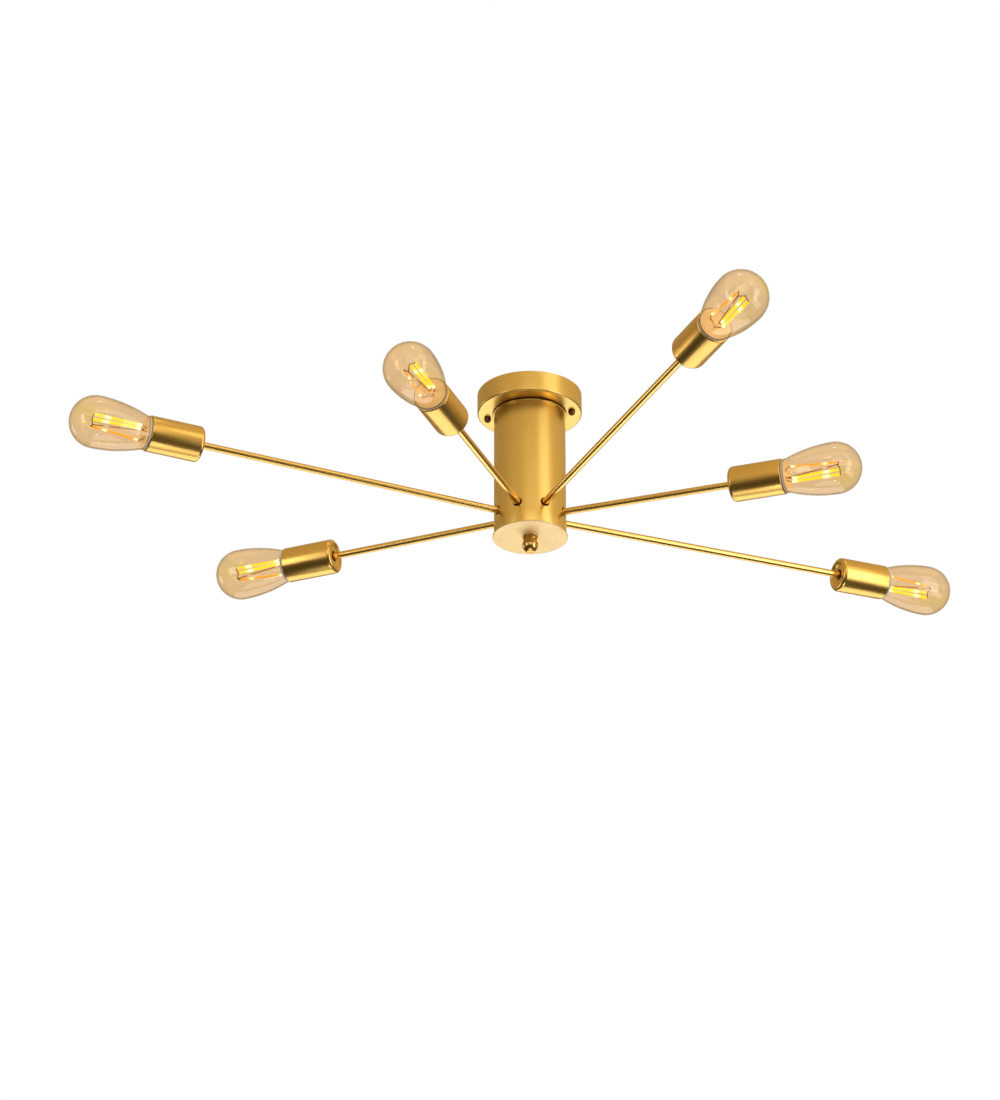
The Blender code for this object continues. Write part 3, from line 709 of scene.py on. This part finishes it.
def canopy_screw(side):
    """A tall dome-headed machine screw with a cross recess, head down."""
    place, length = screw_place(side)
    head = SCREW_HEAD_HEIGHT
    pitch = 0.7 * MM
    outline = [(0, 0), (1.7 * MM, 0), (2.5 * MM, 0.25 * MM), (3.2 * MM, 0.9 * MM)]
    outline += [(3.7 * MM, 2.0 * MM), (SCREW_HEAD, 3.2 * MM), (SCREW_HEAD, head - 0.3 * MM)]
    outline += [(SCREW_HEAD - 0.3 * MM, head), (SCREW_SHANK, head)]
    outline += [(SCREW_SHANK - 0.12 * MM, z) for z in levels(head + pitch, length - pitch, pitch / 6)]
    outline += [(SCREW_SHANK - 0.5 * MM, length), (0, length)]
    ripple = thread(0.25 * MM, pitch, head + pitch, length - pitch)
    screw = turned(f"canopy_screw_body_{side}", outline, dark_bronze, ROUND_SMALL, ripple)
    blades = []
    for turn in (0, 90):
        width, tip = 0.55 * MM, 2.2 * MM
        loop = [(-tip, -width), (tip, -width), (tip, width), (-tip, width)]
        blade = extruded(f"blade_{side}_{turn}", loop, -MM, 1.5 * MM)
        for vertex in blade.data.vertices:
            if vertex.co.z > 0:
                vertex.co.x *= 0.45
        blade.rotation_euler.z = math.radians(turn + 20)
        blades.append(blade)
    combine(screw, blades)
    screw.location = place
    keep(screw, "root", "dark_bronze", f"canopy_screw_{side}")


# Column


def top_ring():
    top = CANOPY_FACE - GAP
    disc_top = top - SPACER_HEIGHT
    disc_bottom = disc_top - RING_THICKNESS
    shoulder = disc_top - PLATE_THICKNESS - TOP_GROOVE
    outline = [(ROD_HOLE, top), (SPACER_RADIUS, top), (SPACER_RADIUS, disc_top)]
    outline += arc((PLATE_RIM, disc_top - PLATE_EDGE), PLATE_EDGE, 90, 0, 6)
    outline += arc((PLATE_RIM, disc_bottom + PLATE_EDGE), PLATE_EDGE, 0, -90, 6)
    outline += [(SHOULDER_RADIUS, disc_bottom), (SHOULDER_RADIUS, shoulder)]
    outline += [(SPIGOT_RADIUS, shoulder), (SPIGOT_RADIUS, shoulder - SPIGOT_HEIGHT)]
    outline += [(SPIGOT_INNER, shoulder - SPIGOT_HEIGHT), (SPIGOT_INNER, disc_bottom)]
    outline += [(ROD_HOLE, disc_bottom)]
    ring = turned("top_ring", outline, satin_brass, ROUND_LARGE)
    combine(ring, [wire_hole()])
    keep(ring, "root", "satin_brass", "top_plate")


def column_tube():
    inner = COLUMN_RADIUS - COLUMN_WALL
    edge = 0.35 * MM
    low, high = column_low.z, column_high.z
    zone = 9 * MM
    outline = [(inner + edge, high), (COLUMN_RADIUS - edge, high)]
    outline += arc((COLUMN_RADIUS - edge, high - edge), edge, 90, 0, 4)[1:]
    outline += [(COLUMN_RADIUS, ARM_LEVEL + zone), (COLUMN_RADIUS, ARM_LEVEL - zone)]
    outline += arc((COLUMN_RADIUS - edge, low + edge), edge, 0, -90, 4)
    outline += [(inner + edge, low), (inner, low + edge), (inner, ARM_LEVEL - zone)]
    outline += [(inner, ARM_LEVEL + zone), (inner, high - edge)]
    tube = turned("column_shell", outline, satin_brass, ROUND_LARGE)
    combine(tube, [arm_hole_cutter(lamp, ARM_HOLE, 0.35 * MM) for lamp in LAMPS])
    keep(tube, "root", "satin_brass", "column_tube")


def arm_hole_cutter(lamp, radius, chamfer):
    """A drill along the arm whose chamfer follows the column's round wall."""
    place, _ = arm_frame(lamp)
    wall = COLUMN_RADIUS
    outline = [(0, wall - 8 * MM), (radius, wall - 8 * MM), (radius, wall - chamfer)]
    outline += [(radius + chamfer, wall + 0.02 * MM), (radius + chamfer, wall + 8 * MM)]
    outline += [(0, wall + 8 * MM)]
    cutter = turned(f"drill_{lamp}", outline)
    for vertex in cutter.data.vertices:
        vertex.co.z += math.sqrt(wall**2 - vertex.co.x**2) - wall
    cutter.matrix_world = place
    return cutter


def arm_hub():
    edge = 0.5 * MM
    radius = hub_high.x
    low, high = hub_low.z, hub_high.z
    outline = [(HUB_INNER, high - edge), (HUB_INNER + edge, high), (radius - edge, high)]
    outline += [(radius, high - edge), (radius, low + edge), (radius - edge, low)]
    outline += [(ROD_HOLE, low), (ROD_HOLE, low + HUB_FLOOR), (HUB_INNER, low + HUB_FLOOR)]
    block = turned("hub_block", outline, zinc_steel)
    drills = []
    for lamp in LAMPS:
        place, _ = arm_frame(lamp)
        bore = ARM_RADIUS + GAP
        start, end = HUB_INNER - 6 * MM, radius + 6 * MM
        cutter = drill(f"hub_drill_{lamp}", bore, start, end, ROUND_BORE)
        cutter.matrix_world = place
        drills.append(cutter)
    combine(block, drills)
    keep(block, "root", "zinc_steel", "arm_hub")


def tie_rod():
    """A hollow lamp rod, threaded at both ends."""
    low, high = rod_low.z, rod_high.z
    long_end, short_end = 28 * MM, 18 * MM
    depth = 0.55 * MM
    mean = ROD_RADIUS - depth / 2
    chamfer = 0.5 * MM
    plain = ROD_RADIUS - 0.1 * MM
    outline = [(ROD_BORE, high), (mean - chamfer / 2, high)]
    outline += [(mean, z) for z in reversed(levels(high - long_end, high - chamfer, ROD_PITCH / 6))]
    outline += [(plain, high - long_end - MM), (plain, low + short_end + MM)]
    outline += [(mean, z) for z in reversed(levels(low + chamfer, low + short_end, ROD_PITCH / 6))]
    outline += [(mean - chamfer / 2, low), (ROD_BORE, low)]
    top_thread = thread(depth, ROD_PITCH, high - long_end, high - chamfer)
    low_thread = thread(depth, ROD_PITCH, low + chamfer, low + short_end)

    def both(angle, z):
        return top_thread(angle, z) + low_thread(angle, z)

    rod = turned("tie_rod", outline, zinc_steel, ROUND_SMALL, both)
    keep(rod, "root", "zinc_steel", "threaded_pipe")


def rod_nut():
    corner = NUT_ACROSS_FLATS / 2 / math.cos(math.radians(30))
    low, high = nut_low.z, nut_high.z
    nut = extruded("rod_nut", arc((0, 0), corner, 0, 300, 5), low, high, zinc_steel)
    flat, clear = corner - 1.2 * MM, corner + 0.1 * MM
    outline = [(0, low - MM), (corner, low - MM), (flat, low), (clear, low + 1.1 * MM)]
    outline += [(clear, high - 1.1 * MM), (flat, high), (corner, high + MM), (0, high + MM)]
    combine(nut, [turned("nut_chamfer", outline)], "INTERSECT")
    bore = ROD_RADIUS + 0.4 * MM
    mouth = bore + 1.5 * MM
    outline = [(0, low - MM), (mouth, low - MM), (bore, low + 0.5 * MM)]
    outline += [(bore, high - 0.5 * MM), (mouth, high + MM), (0, high + MM)]
    combine(nut, [turned("nut_hole", outline)])
    keep(nut, "root", "zinc_steel", "pipe_nut")


def bottom_cover():
    face = COVER_FACE
    top = face + PLATE_THICKNESS
    shoulder = top + BOTTOM_GROOVE
    spigot_top = shoulder + SPIGOT_HEIGHT
    outline = [(ROD_HOLE, face)] + [(r * MM, face) for r in (12, 24, 36)]
    outline += arc((PLATE_RIM, face + PLATE_EDGE), PLATE_EDGE, -90, 0, 6)
    outline += arc((PLATE_RIM, top - PLATE_EDGE), PLATE_EDGE, 0, 90, 6)
    outline += [(SHOULDER_RADIUS, top), (SHOULDER_RADIUS, shoulder)]
    outline += [(SPIGOT_RADIUS, shoulder), (SPIGOT_RADIUS, spigot_top)]
    outline += [(SPIGOT_INNER, spigot_top), (SPIGOT_INNER, top), (ROD_HOLE, top)]
    disc = turned("cover_disc", outline, cover_brass, ROUND_LARGE)
    keep(disc, "cover", "cover_brass", "bottom_cover")


def finial():
    top = COVER_FACE - GAP
    collar_low = COVER_FACE - COLLAR_HEIGHT
    depth = 13.6 * MM
    edge = 0.4 * MM
    neck_angle = math.degrees(math.acos(BALL_NECK / BALL_RADIUS))
    centre = COVER_FACE - BALL_RADIUS
    outline = [(0, COVER_FACE - depth - MM), (ROD_HOLE, COVER_FACE - depth), (ROD_HOLE, top)]
    outline += [(COLLAR_RADIUS - edge, top)]
    outline += arc((COLLAR_RADIUS - edge, top - edge), edge, 90, 0, 4)[1:]
    outline += arc((COLLAR_RADIUS - edge, collar_low + edge), edge, 0, -90, 4)
    outline += [(BALL_NECK + 0.25 * MM, collar_low)]
    outline += arc((0, centre), BALL_RADIUS, neck_angle - 3, -89, 40)
    outline += [(0, centre - BALL_RADIUS)]
    ball = turned("ball_finial", outline, ball_brass)
    keep(ball, "finial", "polished_brass", "finial")


# Wiring


def wiring():
    """Two supply wires through the canopy, a taped loom round the rod and one lead down each arm."""
    for side, sleeve in ((-1, black_sleeve), (1, white_sleeve)):
        points = []
        for level in levels(LOOM_LEVEL, WIRE_TOP - 8 * MM, 6 * MM):
            turn = TWIST_RATE * level + side * math.pi / 2
            beside = TWIST_RADIUS * math.cos(turn), TRUNK_OFFSET + TWIST_RADIUS * math.sin(turn)
            points.append(Vector((*beside, level)))
        points.append(Vector((side * 3 * MM, TRUNK_OFFSET + 3 * MM, WIRE_TOP)))
        path = smooth_path(points, 3)
        colour = "black" if side < 0 else "white"
        piece = wire(f"supply_wire_{colour}", path, WIRE_RADIUS, sleeve)
        nodes = ("wiring_harness",) if side < 0 else ()
        keep(piece, "root", "wire_insulation", *nodes)
        ahead = (path[-1] - path[-2]).normalized()
        bare = [path[-1] - ahead * MM, path[-1] + ahead * STRAND_LENGTH]
        strands = wire(f"supply_strand_{colour}", bare, STRAND_RADIUS, copper, 12)
        keep(strands, "root", "wire_insulation")
    loops = []
    section = arc((LOOM_RADIUS, 0), TAPE_RADIUS, 0, 337.5, 15)
    for turn in (-1, 0, 1):
        ring = [(x, z + LOOM_LEVEL + turn * TAPE_SPACING) for x, z in section]
        loops.append(turned(f"loom_{turn}", ring, black_sleeve))
    keep(joined("loom_ring", loops), "root", "wire_insulation")
    for lamp in LAMPS:
        place, reach = arm_frame(lamp)
        outward = (place.to_3x3() @ Vector((0, 0, 1))).normalized()
        flat = Vector((outward.x, outward.y, 0)).normalized()
        lift = Vector((0, 0, 1))
        start = flat * LOOM_RADIUS + lift * LOOM_LEVEL
        points = [
            start,
            start - lift * 12 * MM,
            place.translation + flat * (LOOM_RADIUS + 1.6 * MM) + lift * 5 * MM,
            place @ Vector((0, 0, HUB_INNER - 2 * MM)),
            place @ Vector((0, 0, ARM_START + 3 * MM)),
            place @ Vector((0, 0, reach / 2)),
            place @ Vector((0, 0, reach + ARM_IN_HOLDER - MM)),
        ]
        lead = wire(f"lead_{lamp}", smooth_path(points, 6), LEAD_RADIUS, black_sleeve)
        keep(lead, "root", "wire_insulation")


# Arm and lamp holder


def arm_tube(lamp):
    place, reach = arm_frame(lamp)
    end = reach + ARM_IN_HOLDER
    edge = 0.25 * MM
    outline = [(ARM_BORE, ARM_START + edge), (ARM_BORE + edge, ARM_START)]
    outline += [(ARM_RADIUS - edge, ARM_START), (ARM_RADIUS, ARM_START + edge)]
    outline += [(ARM_RADIUS, z) for z in levels(ARM_START + 20 * MM, end - 20 * MM, 60 * MM)]
    outline += [(ARM_RADIUS, end - edge), (ARM_RADIUS - edge, end)]
    outline += [(ARM_BORE + edge, end), (ARM_BORE, end - edge)]
    tube = turned(f"arm_{lamp}", outline, arm_brass, ROUND_ARM)
    tube.matrix_world = place
    keep(tube, "root", "arm_brass", f"arm_tube_{lamp}")


def socket_cup(lamp):
    side = CUP_RADIUS - CUP_WALL
    back = CUP_RADIUS - CUP_SHOULDER
    edge = 0.25 * MM
    floor = CUP_DISH_DEPTH
    outline = [(CUP_BACK_HOLE, floor + CUP_WALL), (CUP_BACK_HOLE, floor + edge)]
    outline += [(CUP_BACK_HOLE + edge, floor), (CUP_DISH_RADIUS - 0.5 * MM, floor)]
    outline += [(CUP_DISH_RADIUS + 0.3 * MM, floor - 0.25 * MM), (CUP_LIP_RADIUS - 0.2 * MM, 0.55 * MM)]
    outline += [(CUP_LIP_RADIUS + 0.2 * MM, 0.2 * MM), (CUP_LIP_RADIUS + 0.5 * MM, 0.05 * MM)]
    outline += arc((back, CUP_SHOULDER), CUP_SHOULDER, -90, 0, 16)
    outline += [(CUP_RADIUS, CUP_LENGTH / 2)]
    outline += arc((side, CUP_LENGTH - CUP_WALL), CUP_WALL, 0, 150, 10)
    outline += [(side, CUP_LENGTH - 3 * MM)]
    outline += arc((back, CUP_SHOULDER), CUP_SHOULDER - CUP_WALL, 0, -90, 10)
    outline += [(CUP_DISH_RADIUS + CUP_WALL / 3, floor + CUP_WALL)]
    lamp_piece(lamp, "cup", outline, cup_brass, "root", "satin_brass", "socket_cup")


def socket_core(lamp):
    back = CUP_DISH_DEPTH + CUP_WALL + GAP
    bore = ARM_RADIUS + 0.36 * MM
    stop = ARM_IN_HOLDER + GAP
    boss_top = CONTACT_TIP - GAP
    edge = 0.8 * MM
    lip = 0.3 * MM
    outline = [(0, stop), (bore, stop), (bore, back), (CORE_BACK - 0.6 * MM, back)]
    outline += [(CORE_BACK, back + 0.4 * MM), (CORE_RADIUS - 0.3 * MM, CORE_SHOULDER - 0.5 * MM)]
    outline += [(CORE_RADIUS, CORE_SHOULDER + 0.5 * MM), (CORE_RADIUS, CORE_END - edge)]
    outline += arc((CORE_RADIUS - edge, CORE_END - edge), edge, 0, 90, 5)[1:]
    outline += [(CORE_BORE + lip, CORE_END), (CORE_BORE, CORE_END - lip), (CORE_BORE, CORE_FLOOR)]
    outline += [(3 * MM, CORE_FLOOR), (2.8 * MM, boss_top), (0, boss_top)]
    lamp_piece(lamp, "holder_core", outline, porcelain, "root", "holder_core", "socket_core")


def back_shade_washer(lamp):
    """A dark washer behind the cup's back, seen through the gap round the arm: a dark sheet that paints the
    shade in the hole.
    """
    floor = CUP_DISH_DEPTH + CUP_WALL
    low, high = floor + 0.04 * MM, floor + 0.26 * MM
    inner, outer = ARM_RADIUS + 0.12 * MM, CORE_BACK - 0.8 * MM
    outline = [(inner, low), (outer, low), (outer, high), (inner, high)]
    lamp_piece(lamp, "back_shade_washer", outline, black_sleeve, "root", "wire_insulation")


def socket_shell(lamp):
    """The holder's rolled screw shell."""
    half = 0.2 * MM
    depth = 0.3 * MM
    inner = SHELL_RADIUS - half
    outer = SHELL_RADIUS + half
    rows = levels(SHELL_START, SHELL_END - 2 * MM, THREAD_PITCH / 10)
    outline = [(inner, z) for z in reversed(rows)]
    outline += [(outer, z) for z in rows]
    outline += [(outer, SHELL_END - MM), (outer + MM, SHELL_END - 0.5 * MM)]
    outline += [(outer + MM, SHELL_END), (inner, SHELL_END - 0.2 * MM)]
    ripple = thread(depth, THREAD_PITCH, SHELL_START + MM, SHELL_END - 4 * MM)
    lamp_piece(lamp, "holder_shell", outline, nickel, "root", "nickel_shell", "socket_shell", ripple=ripple)


# Bulb


def bulb_contact(lamp):
    top = CONTACT_TIP + CONTACT_HEIGHT
    dome = 1.2 * MM
    outline = [(0, CONTACT_TIP)]
    for share in (0.3, 0.55, 0.8, 1.0):
        outline.append((share * CONTACT_RADIUS, CONTACT_TIP + dome * share**2))
    outline += [(CONTACT_RADIUS, top), (0, top)]
    lamp_piece(lamp, "contact", outline, solder, "bulb_travel", "nickel_shell", "bulb_contact", ROUND_SMALL)


def bulb_base(lamp):
    start = CONTACT_TIP + CONTACT_HEIGHT + GAP
    depth = THREAD_CREST - THREAD_ROOT
    mean = (THREAD_CREST + THREAD_ROOT) / 2
    wall = 0.4 * MM
    rows = levels(THREAD_START - 0.6 * MM, THREAD_END + MM, THREAD_PITCH / 12)
    outline = [(mean - wall, z) for z in reversed(rows)]
    outline += [(mean - 2.5 * MM, THREAD_START - MM), (mean - 2.4 * MM, THREAD_START - 1.4 * MM)]
    outline += [(mean, z) for z in rows]
    outline += [(THREAD_CREST, THREAD_END + 2 * MM), (THREAD_CREST, BASE_END - 0.3 * MM)]
    outline += [(THREAD_CREST - 0.3 * MM, BASE_END), (BASE_INNER, BASE_END)]
    outline += [(BASE_INNER, THREAD_END + 2 * MM)]
    ripple = thread(depth, THREAD_PITCH, THREAD_START, THREAD_END)
    lamp_piece(lamp, "base_shell", outline, nickel, "bulb", "nickel_shell", "bulb_base", ripple=ripple)
    wide, top = 9.2 * MM, THREAD_START + MM
    outline = [(0, start), (4.9 * MM, start), (5.2 * MM, start + 0.2 * MM)]
    outline += [(wide, THREAD_START - 1.6 * MM), (wide, top), (0, top)]
    lamp_piece(lamp, "base_insulator", outline, black_glass, "bulb", "nickel_shell")


def glass_profile(distance):
    """The glass's outer radius at a distance from the cup's back, from neck to round end."""
    beyond = distance - CUP_LENGTH
    belly = GLASS_BEYOND_MOUTH - GLASS_RADIUS
    slope = 2 * (GLASS_RADIUS - GLASS_AT_MOUTH) / belly
    if beyond > belly:
        return math.sqrt(max(0, GLASS_RADIUS**2 - (beyond - belly) ** 2))
    if beyond > 0:
        return GLASS_AT_MOUTH + slope * beyond * (1 - beyond / (2 * belly))
    flare = CUP_LENGTH - GLASS_NECK_END
    share = max(0, 1 + beyond / flare)
    linear = 2 * (GLASS_AT_MOUTH - GLASS_NECK) - slope * flare
    curved = GLASS_AT_MOUTH - GLASS_NECK - linear
    return GLASS_NECK + linear * share + curved * share**2


def bulb_glass(lamp):
    start = BASE_END + GAP
    belly = CUP_LENGTH + GLASS_BEYOND_MOUTH - GLASS_RADIUS
    sides = levels(GLASS_NECK_END, belly - 2 * MM, 2.5 * MM)
    outer = [(GLASS_NECK, start)] + [(glass_profile(z), z) for z in sides]
    outer += arc((0, belly), GLASS_RADIUS, 0, 88, 36)
    outer += [(0, belly + GLASS_RADIUS)]
    inner = [(GLASS_NECK - GLASS_WALL, start)]
    inner += [(glass_profile(z) - GLASS_WALL, z) for z in sides]
    inner += arc((0, belly), GLASS_RADIUS - GLASS_WALL, 0, 88, 36)
    inner += [(0, belly + GLASS_RADIUS - GLASS_WALL)]
    glass = lamp_piece(lamp, "glass", inner[::-1] + outer, amber_glass, "bulb", "amber_glass", "bulb_glass")
    # Turns the painted glow patch to lie past the filament's outer end
    glass["glow_patch_turn"] = -filament_turn(lamp)


def filament_turn(lamp):
    """The bulb's turn that puts the bright sticks on the same side for each lamp, seen from VIEWED_FROM."""
    axis = Vector(joints[f"bulb_screw_{lamp}"]["axis"])
    side = lamp_frames[lamp].to_3x3().inverted() @ axis.cross(Vector(VIEWED_FROM))
    return math.atan2(side.y, side.x)


def bulb_filament(lamp):
    """The lit sticks, the wires that hold them and the glass stem."""
    coats = {"bright": bright_coat, "orange": orange_coat, "brown": brown_coat}
    sticks = {colour: [] for colour in coats}
    bits = []
    ends = []
    for number, (inner, outer, radius, colour) in enumerate(STICKS):
        start = Vector((*inner, 0)) * MM + Vector((0, 0, STICK_START))
        end = Vector((*outer, 0)) * MM + Vector((0, 0, STICK_END))
        run = [start.lerp(end, share) for share in (0.03, 0.35, 0.65, 0.97)]
        sticks[colour].append(wire(f"stick_{number}", run, radius * MM, coats[colour], 20))
        caps = [start, start.lerp(end, 0.05)], [start.lerp(end, 0.95), end]
        for side, cap in zip(("inner", "outer"), caps):
            bits.append(wire(f"{side}_cap_{number}", cap, CAP_RADIUS, dark_wire, 10))
        foot = Vector((start.x * 0.25, start.y * 0.25, NECK_PLATE_LEVEL - MM))
        knee = Vector((start.x * 0.75, start.y * 0.75, STICK_START - 4 * MM))
        route = smooth_path([foot, knee, start], 6)
        bits.append(wire(f"support_{number}", route, SUPPORT_RADIUS, dark_wire, 10))
        ends.append(end)
    for number, bridge in enumerate(zip(ends, ends[1:])):
        bits.append(wire(f"bridge_{number}", bridge, BRIDGE_RADIUS, dark_wire, 10))
    turn = Matrix.Rotation(filament_turn(lamp), 4, "Z")
    cage = joined(f"filament_wires_{lamp}", bits)
    keep(cage, f"bulb_{lamp}", "nickel_shell")
    stem_outline = [(radius * MM, BASE_END + beyond * MM) for radius, beyond in STEM]
    stem = turned(f"stem_{lamp}", stem_outline, stem_glass, ROUND_SMALL)
    keep(stem, f"bulb_{lamp}", "amber_glass")
    for piece in (cage, stem):
        piece.matrix_world = lamp_frames[lamp] @ turn
    for colour, bodies in sticks.items():
        coat = joined(f"filament_{colour}_{lamp}", bodies)
        coat.matrix_world = lamp_frames[lamp] @ turn
        nodes = (f"bulb_filament_{lamp}",) if colour == "bright" else ()
        keep(coat, f"bulb_{lamp}", "filament_glow", *nodes)


def neck_baffle(lamp):
    """The pale plate across the bulb's neck, on the stem's pinch, that the filament's supports stand on.
    Its faint glow is painted light for the lit neck seen through the glass.
    """
    level = NECK_PLATE_LEVEL
    rim = glass_profile(level) - GLASS_WALL - 0.12 * MM
    outline = [(0, level - 2.0 * MM), (rim * 0.6, level - 1.2 * MM), (rim - 0.3 * MM, level - 0.4 * MM)]
    outline += [(rim, level), (rim - 0.2 * MM, level + 0.2 * MM), (rim * 0.6, level - 0.6 * MM)]
    outline += [(4.2 * MM, level - MM), (3.0 * MM, level + 0.4 * MM)]
    outline += [(2.2 * MM, level + 1.2 * MM), (0, level + 1.5 * MM)]
    lamp_piece(lamp, "neck_plate", outline, neck_plate, "bulb", "nickel_shell")


def neck_ring(lamp):
    """A pale silicone ring that hugs the glass where it leaves the cup; its pale colour also stands in for
    the glass's highlight there, a painted highlight.
    """
    start, end = CUP_LENGTH + 0.4 * MM, NECK_PLATE_LEVEL - 0.5 * MM
    rows = levels(start, end, 0.4 * MM)
    swell = 0.55 * MM
    touch = 0.03 * MM
    outline = [(glass_profile(z) + touch, z) for z in reversed(rows)]
    for z in rows:
        share = (z - start) / (end - start)
        bulge = swell * math.sqrt(math.sin(math.pi * (0.08 + 0.84 * share)))
        outline.append((glass_profile(z) + touch + bulge, z))
    lamp_piece(lamp, "neck_ring", outline, neck_silicone_and_highlight, "bulb", "amber_glass")


ceiling_strip()
canopy()
for hand in ("right", "left"):
    canopy_screw(hand)
top_ring()
column_tube()
arm_hub()
tie_rod()
rod_nut()
bottom_cover()
finial()
wiring()
for lamp in LAMPS:
    arm_tube(lamp)
    socket_cup(lamp)
    socket_core(lamp)
    back_shade_washer(lamp)
    socket_shell(lamp)
    bulb_contact(lamp)
    bulb_base(lamp)
    bulb_glass(lamp)
    bulb_filament(lamp)
    neck_ring(lamp)
    neck_baffle(lamp)


# Stage, light and camera

FLOOR_LEVEL = -5.6
FLOOR_SIZE = 30
FLOOR_GLOW = 0.8
# The room's strength below and above, and the side it is brightest on
ROOM_LIGHT = (0.07, 0.66)
ROOM_BRIGHT_SIDE = (0.7, -0.7, 0)
ROOM_COLOUR = (1.0, 0.78, 0.46, 1)
PANEL_DISTANCE = 3.0
PANEL_TARGET = Vector((0, 0, -0.12))
PANEL_WATTS = 4  # For each square metre at a radiance of 1
# Name, azimuth and elevation in degrees, size, radiance
PANELS = [
    ("key_right", 55, -3, (1.0, 2.0), 2.0),
    ("low_right", 70, -26, (2.2, 1.0), 1.4),
    ("high_right", 45, 27, (1.6, 1.1), 0.72),
    ("left", -54, -4, (0.7, 1.6), 1.9),
    ("far_left", -115, -4, (0.8, 1.0), 1.6),
    ("behind", 176, -38, (2.8, 2.4), 1.12),
    ("under", 176, -84, (2.0, 1.3), 1.0),
    ("front", 2, 5, (2.4, 1.7), 0.66),
    ("streak_above", 8, 70, (0.5, 0.10), 15.0),
    ("streak_below", -8, -82, (0.5, 0.10), 15.0),
]


def stage_floor():
    """A pale floor far below, which glows a little and lights nothing."""
    tree, shader, surface = blank("floor_paint")
    place = add(tree, "TexCoord").outputs["Object"]
    tone = blend(tree, noise(tree, place, 0.6), (0.86, 0.86, 0.86, 1), (0.9, 0.9, 0.9, 1))
    glow = {"Emission Color": tone, "Emission Strength": FLOOR_GLOW}
    feed(tree, shader, {"Base Color": tone, "Roughness": 0.8, **glow})
    builder = bmesh.new()
    bmesh.ops.create_grid(builder, x_segments=1, y_segments=1, size=FLOOR_SIZE)
    floor = finished(builder, "studio_floor", surface)
    floor.location.z = FLOOR_LEVEL
    floor.visible_glossy = False
    floor.visible_diffuse = False


def softbox(name, azimuth, elevation, size, radiance):
    """A soft panel on a sphere round the light. Azimuth from the front towards the right, in degrees."""
    turn, lift = math.radians(azimuth), math.radians(elevation)
    away = Vector((math.sin(turn) * math.cos(lift), -math.cos(turn) * math.cos(lift), math.sin(lift)))
    data = bpy.data.lights.new(name, "AREA")
    data.shape = "RECTANGLE"
    data.size, data.size_y = size
    data.energy = radiance * size[0] * size[1] * PANEL_WATTS
    panel = bpy.data.objects.new(name, data)
    bpy.context.scene.collection.objects.link(panel)
    panel.location = PANEL_TARGET + away * PANEL_DISTANCE
    panel.rotation_mode = "QUATERNION"
    panel.rotation_quaternion = (-away).to_track_quat("-Z", "Y")
    panel.visible_camera = False


def studio_world():
    """White to the camera, and a dim room, darker downwards, to everything that it shines on."""
    world = bpy.data.worlds.new("studio")
    bpy.context.scene.world = world
    world.use_nodes = True
    tree = world.node_tree
    tree.nodes.clear()
    path = add(tree, "LightPath").outputs["Is Camera Ray"]
    seen = add(tree, "Background", {"Color": (1, 1, 1, 1), "Strength": 1.0}).outputs[0]
    place = add(tree, "TexCoord").outputs["Generated"]
    lift = add(tree, "SeparateXYZ", {0: place}).outputs[2]
    facing = {0: place, 1: ROOM_BRIGHT_SIDE}
    side = add(tree, "VectorMath", facing, operation="DOT_PRODUCT").outputs["Value"]
    height_share = spread(tree, lift, -0.45, 0.35, *ROOM_LIGHT)
    room = math_of(tree, "MULTIPLY", height_share, spread(tree, side, -0.9, 0.5, 0.6, 1.0))
    lit = add(tree, "Background", {"Color": ROOM_COLOUR, "Strength": room}).outputs[0]
    mixed = add(tree, "MixShader", {0: path, 1: lit, 2: seen}).outputs[0]
    output = add(tree, "OutputWorld")
    tree.links.new(mixed, output.inputs["Surface"])


def camera():
    data = bpy.data.cameras.new("camera")
    data.lens = CAMERA_LENS
    data.clip_end = 100
    made = bpy.data.objects.new("camera", data)
    bpy.context.scene.collection.objects.link(made)
    pitch, yaw, roll = (math.radians(a) for a in (CAMERA_PITCH, CAMERA_YAW, CAMERA_ROLL))
    turn = Matrix.Rotation(-yaw, 4, "Z") @ Matrix.Rotation(math.pi / 2 + pitch, 4, "X")
    made.matrix_world = Matrix.Translation(CAMERA_PLACE) @ turn @ Matrix.Rotation(roll, 4, "Z")
    bpy.context.scene.camera = made


stage_floor()
studio_world()
for panel in PANELS:
    softbox(*panel)
camera()
bpy.context.scene.view_settings.view_transform = "Standard"
bpy.context.scene.cycles.transparent_max_bounces = 32
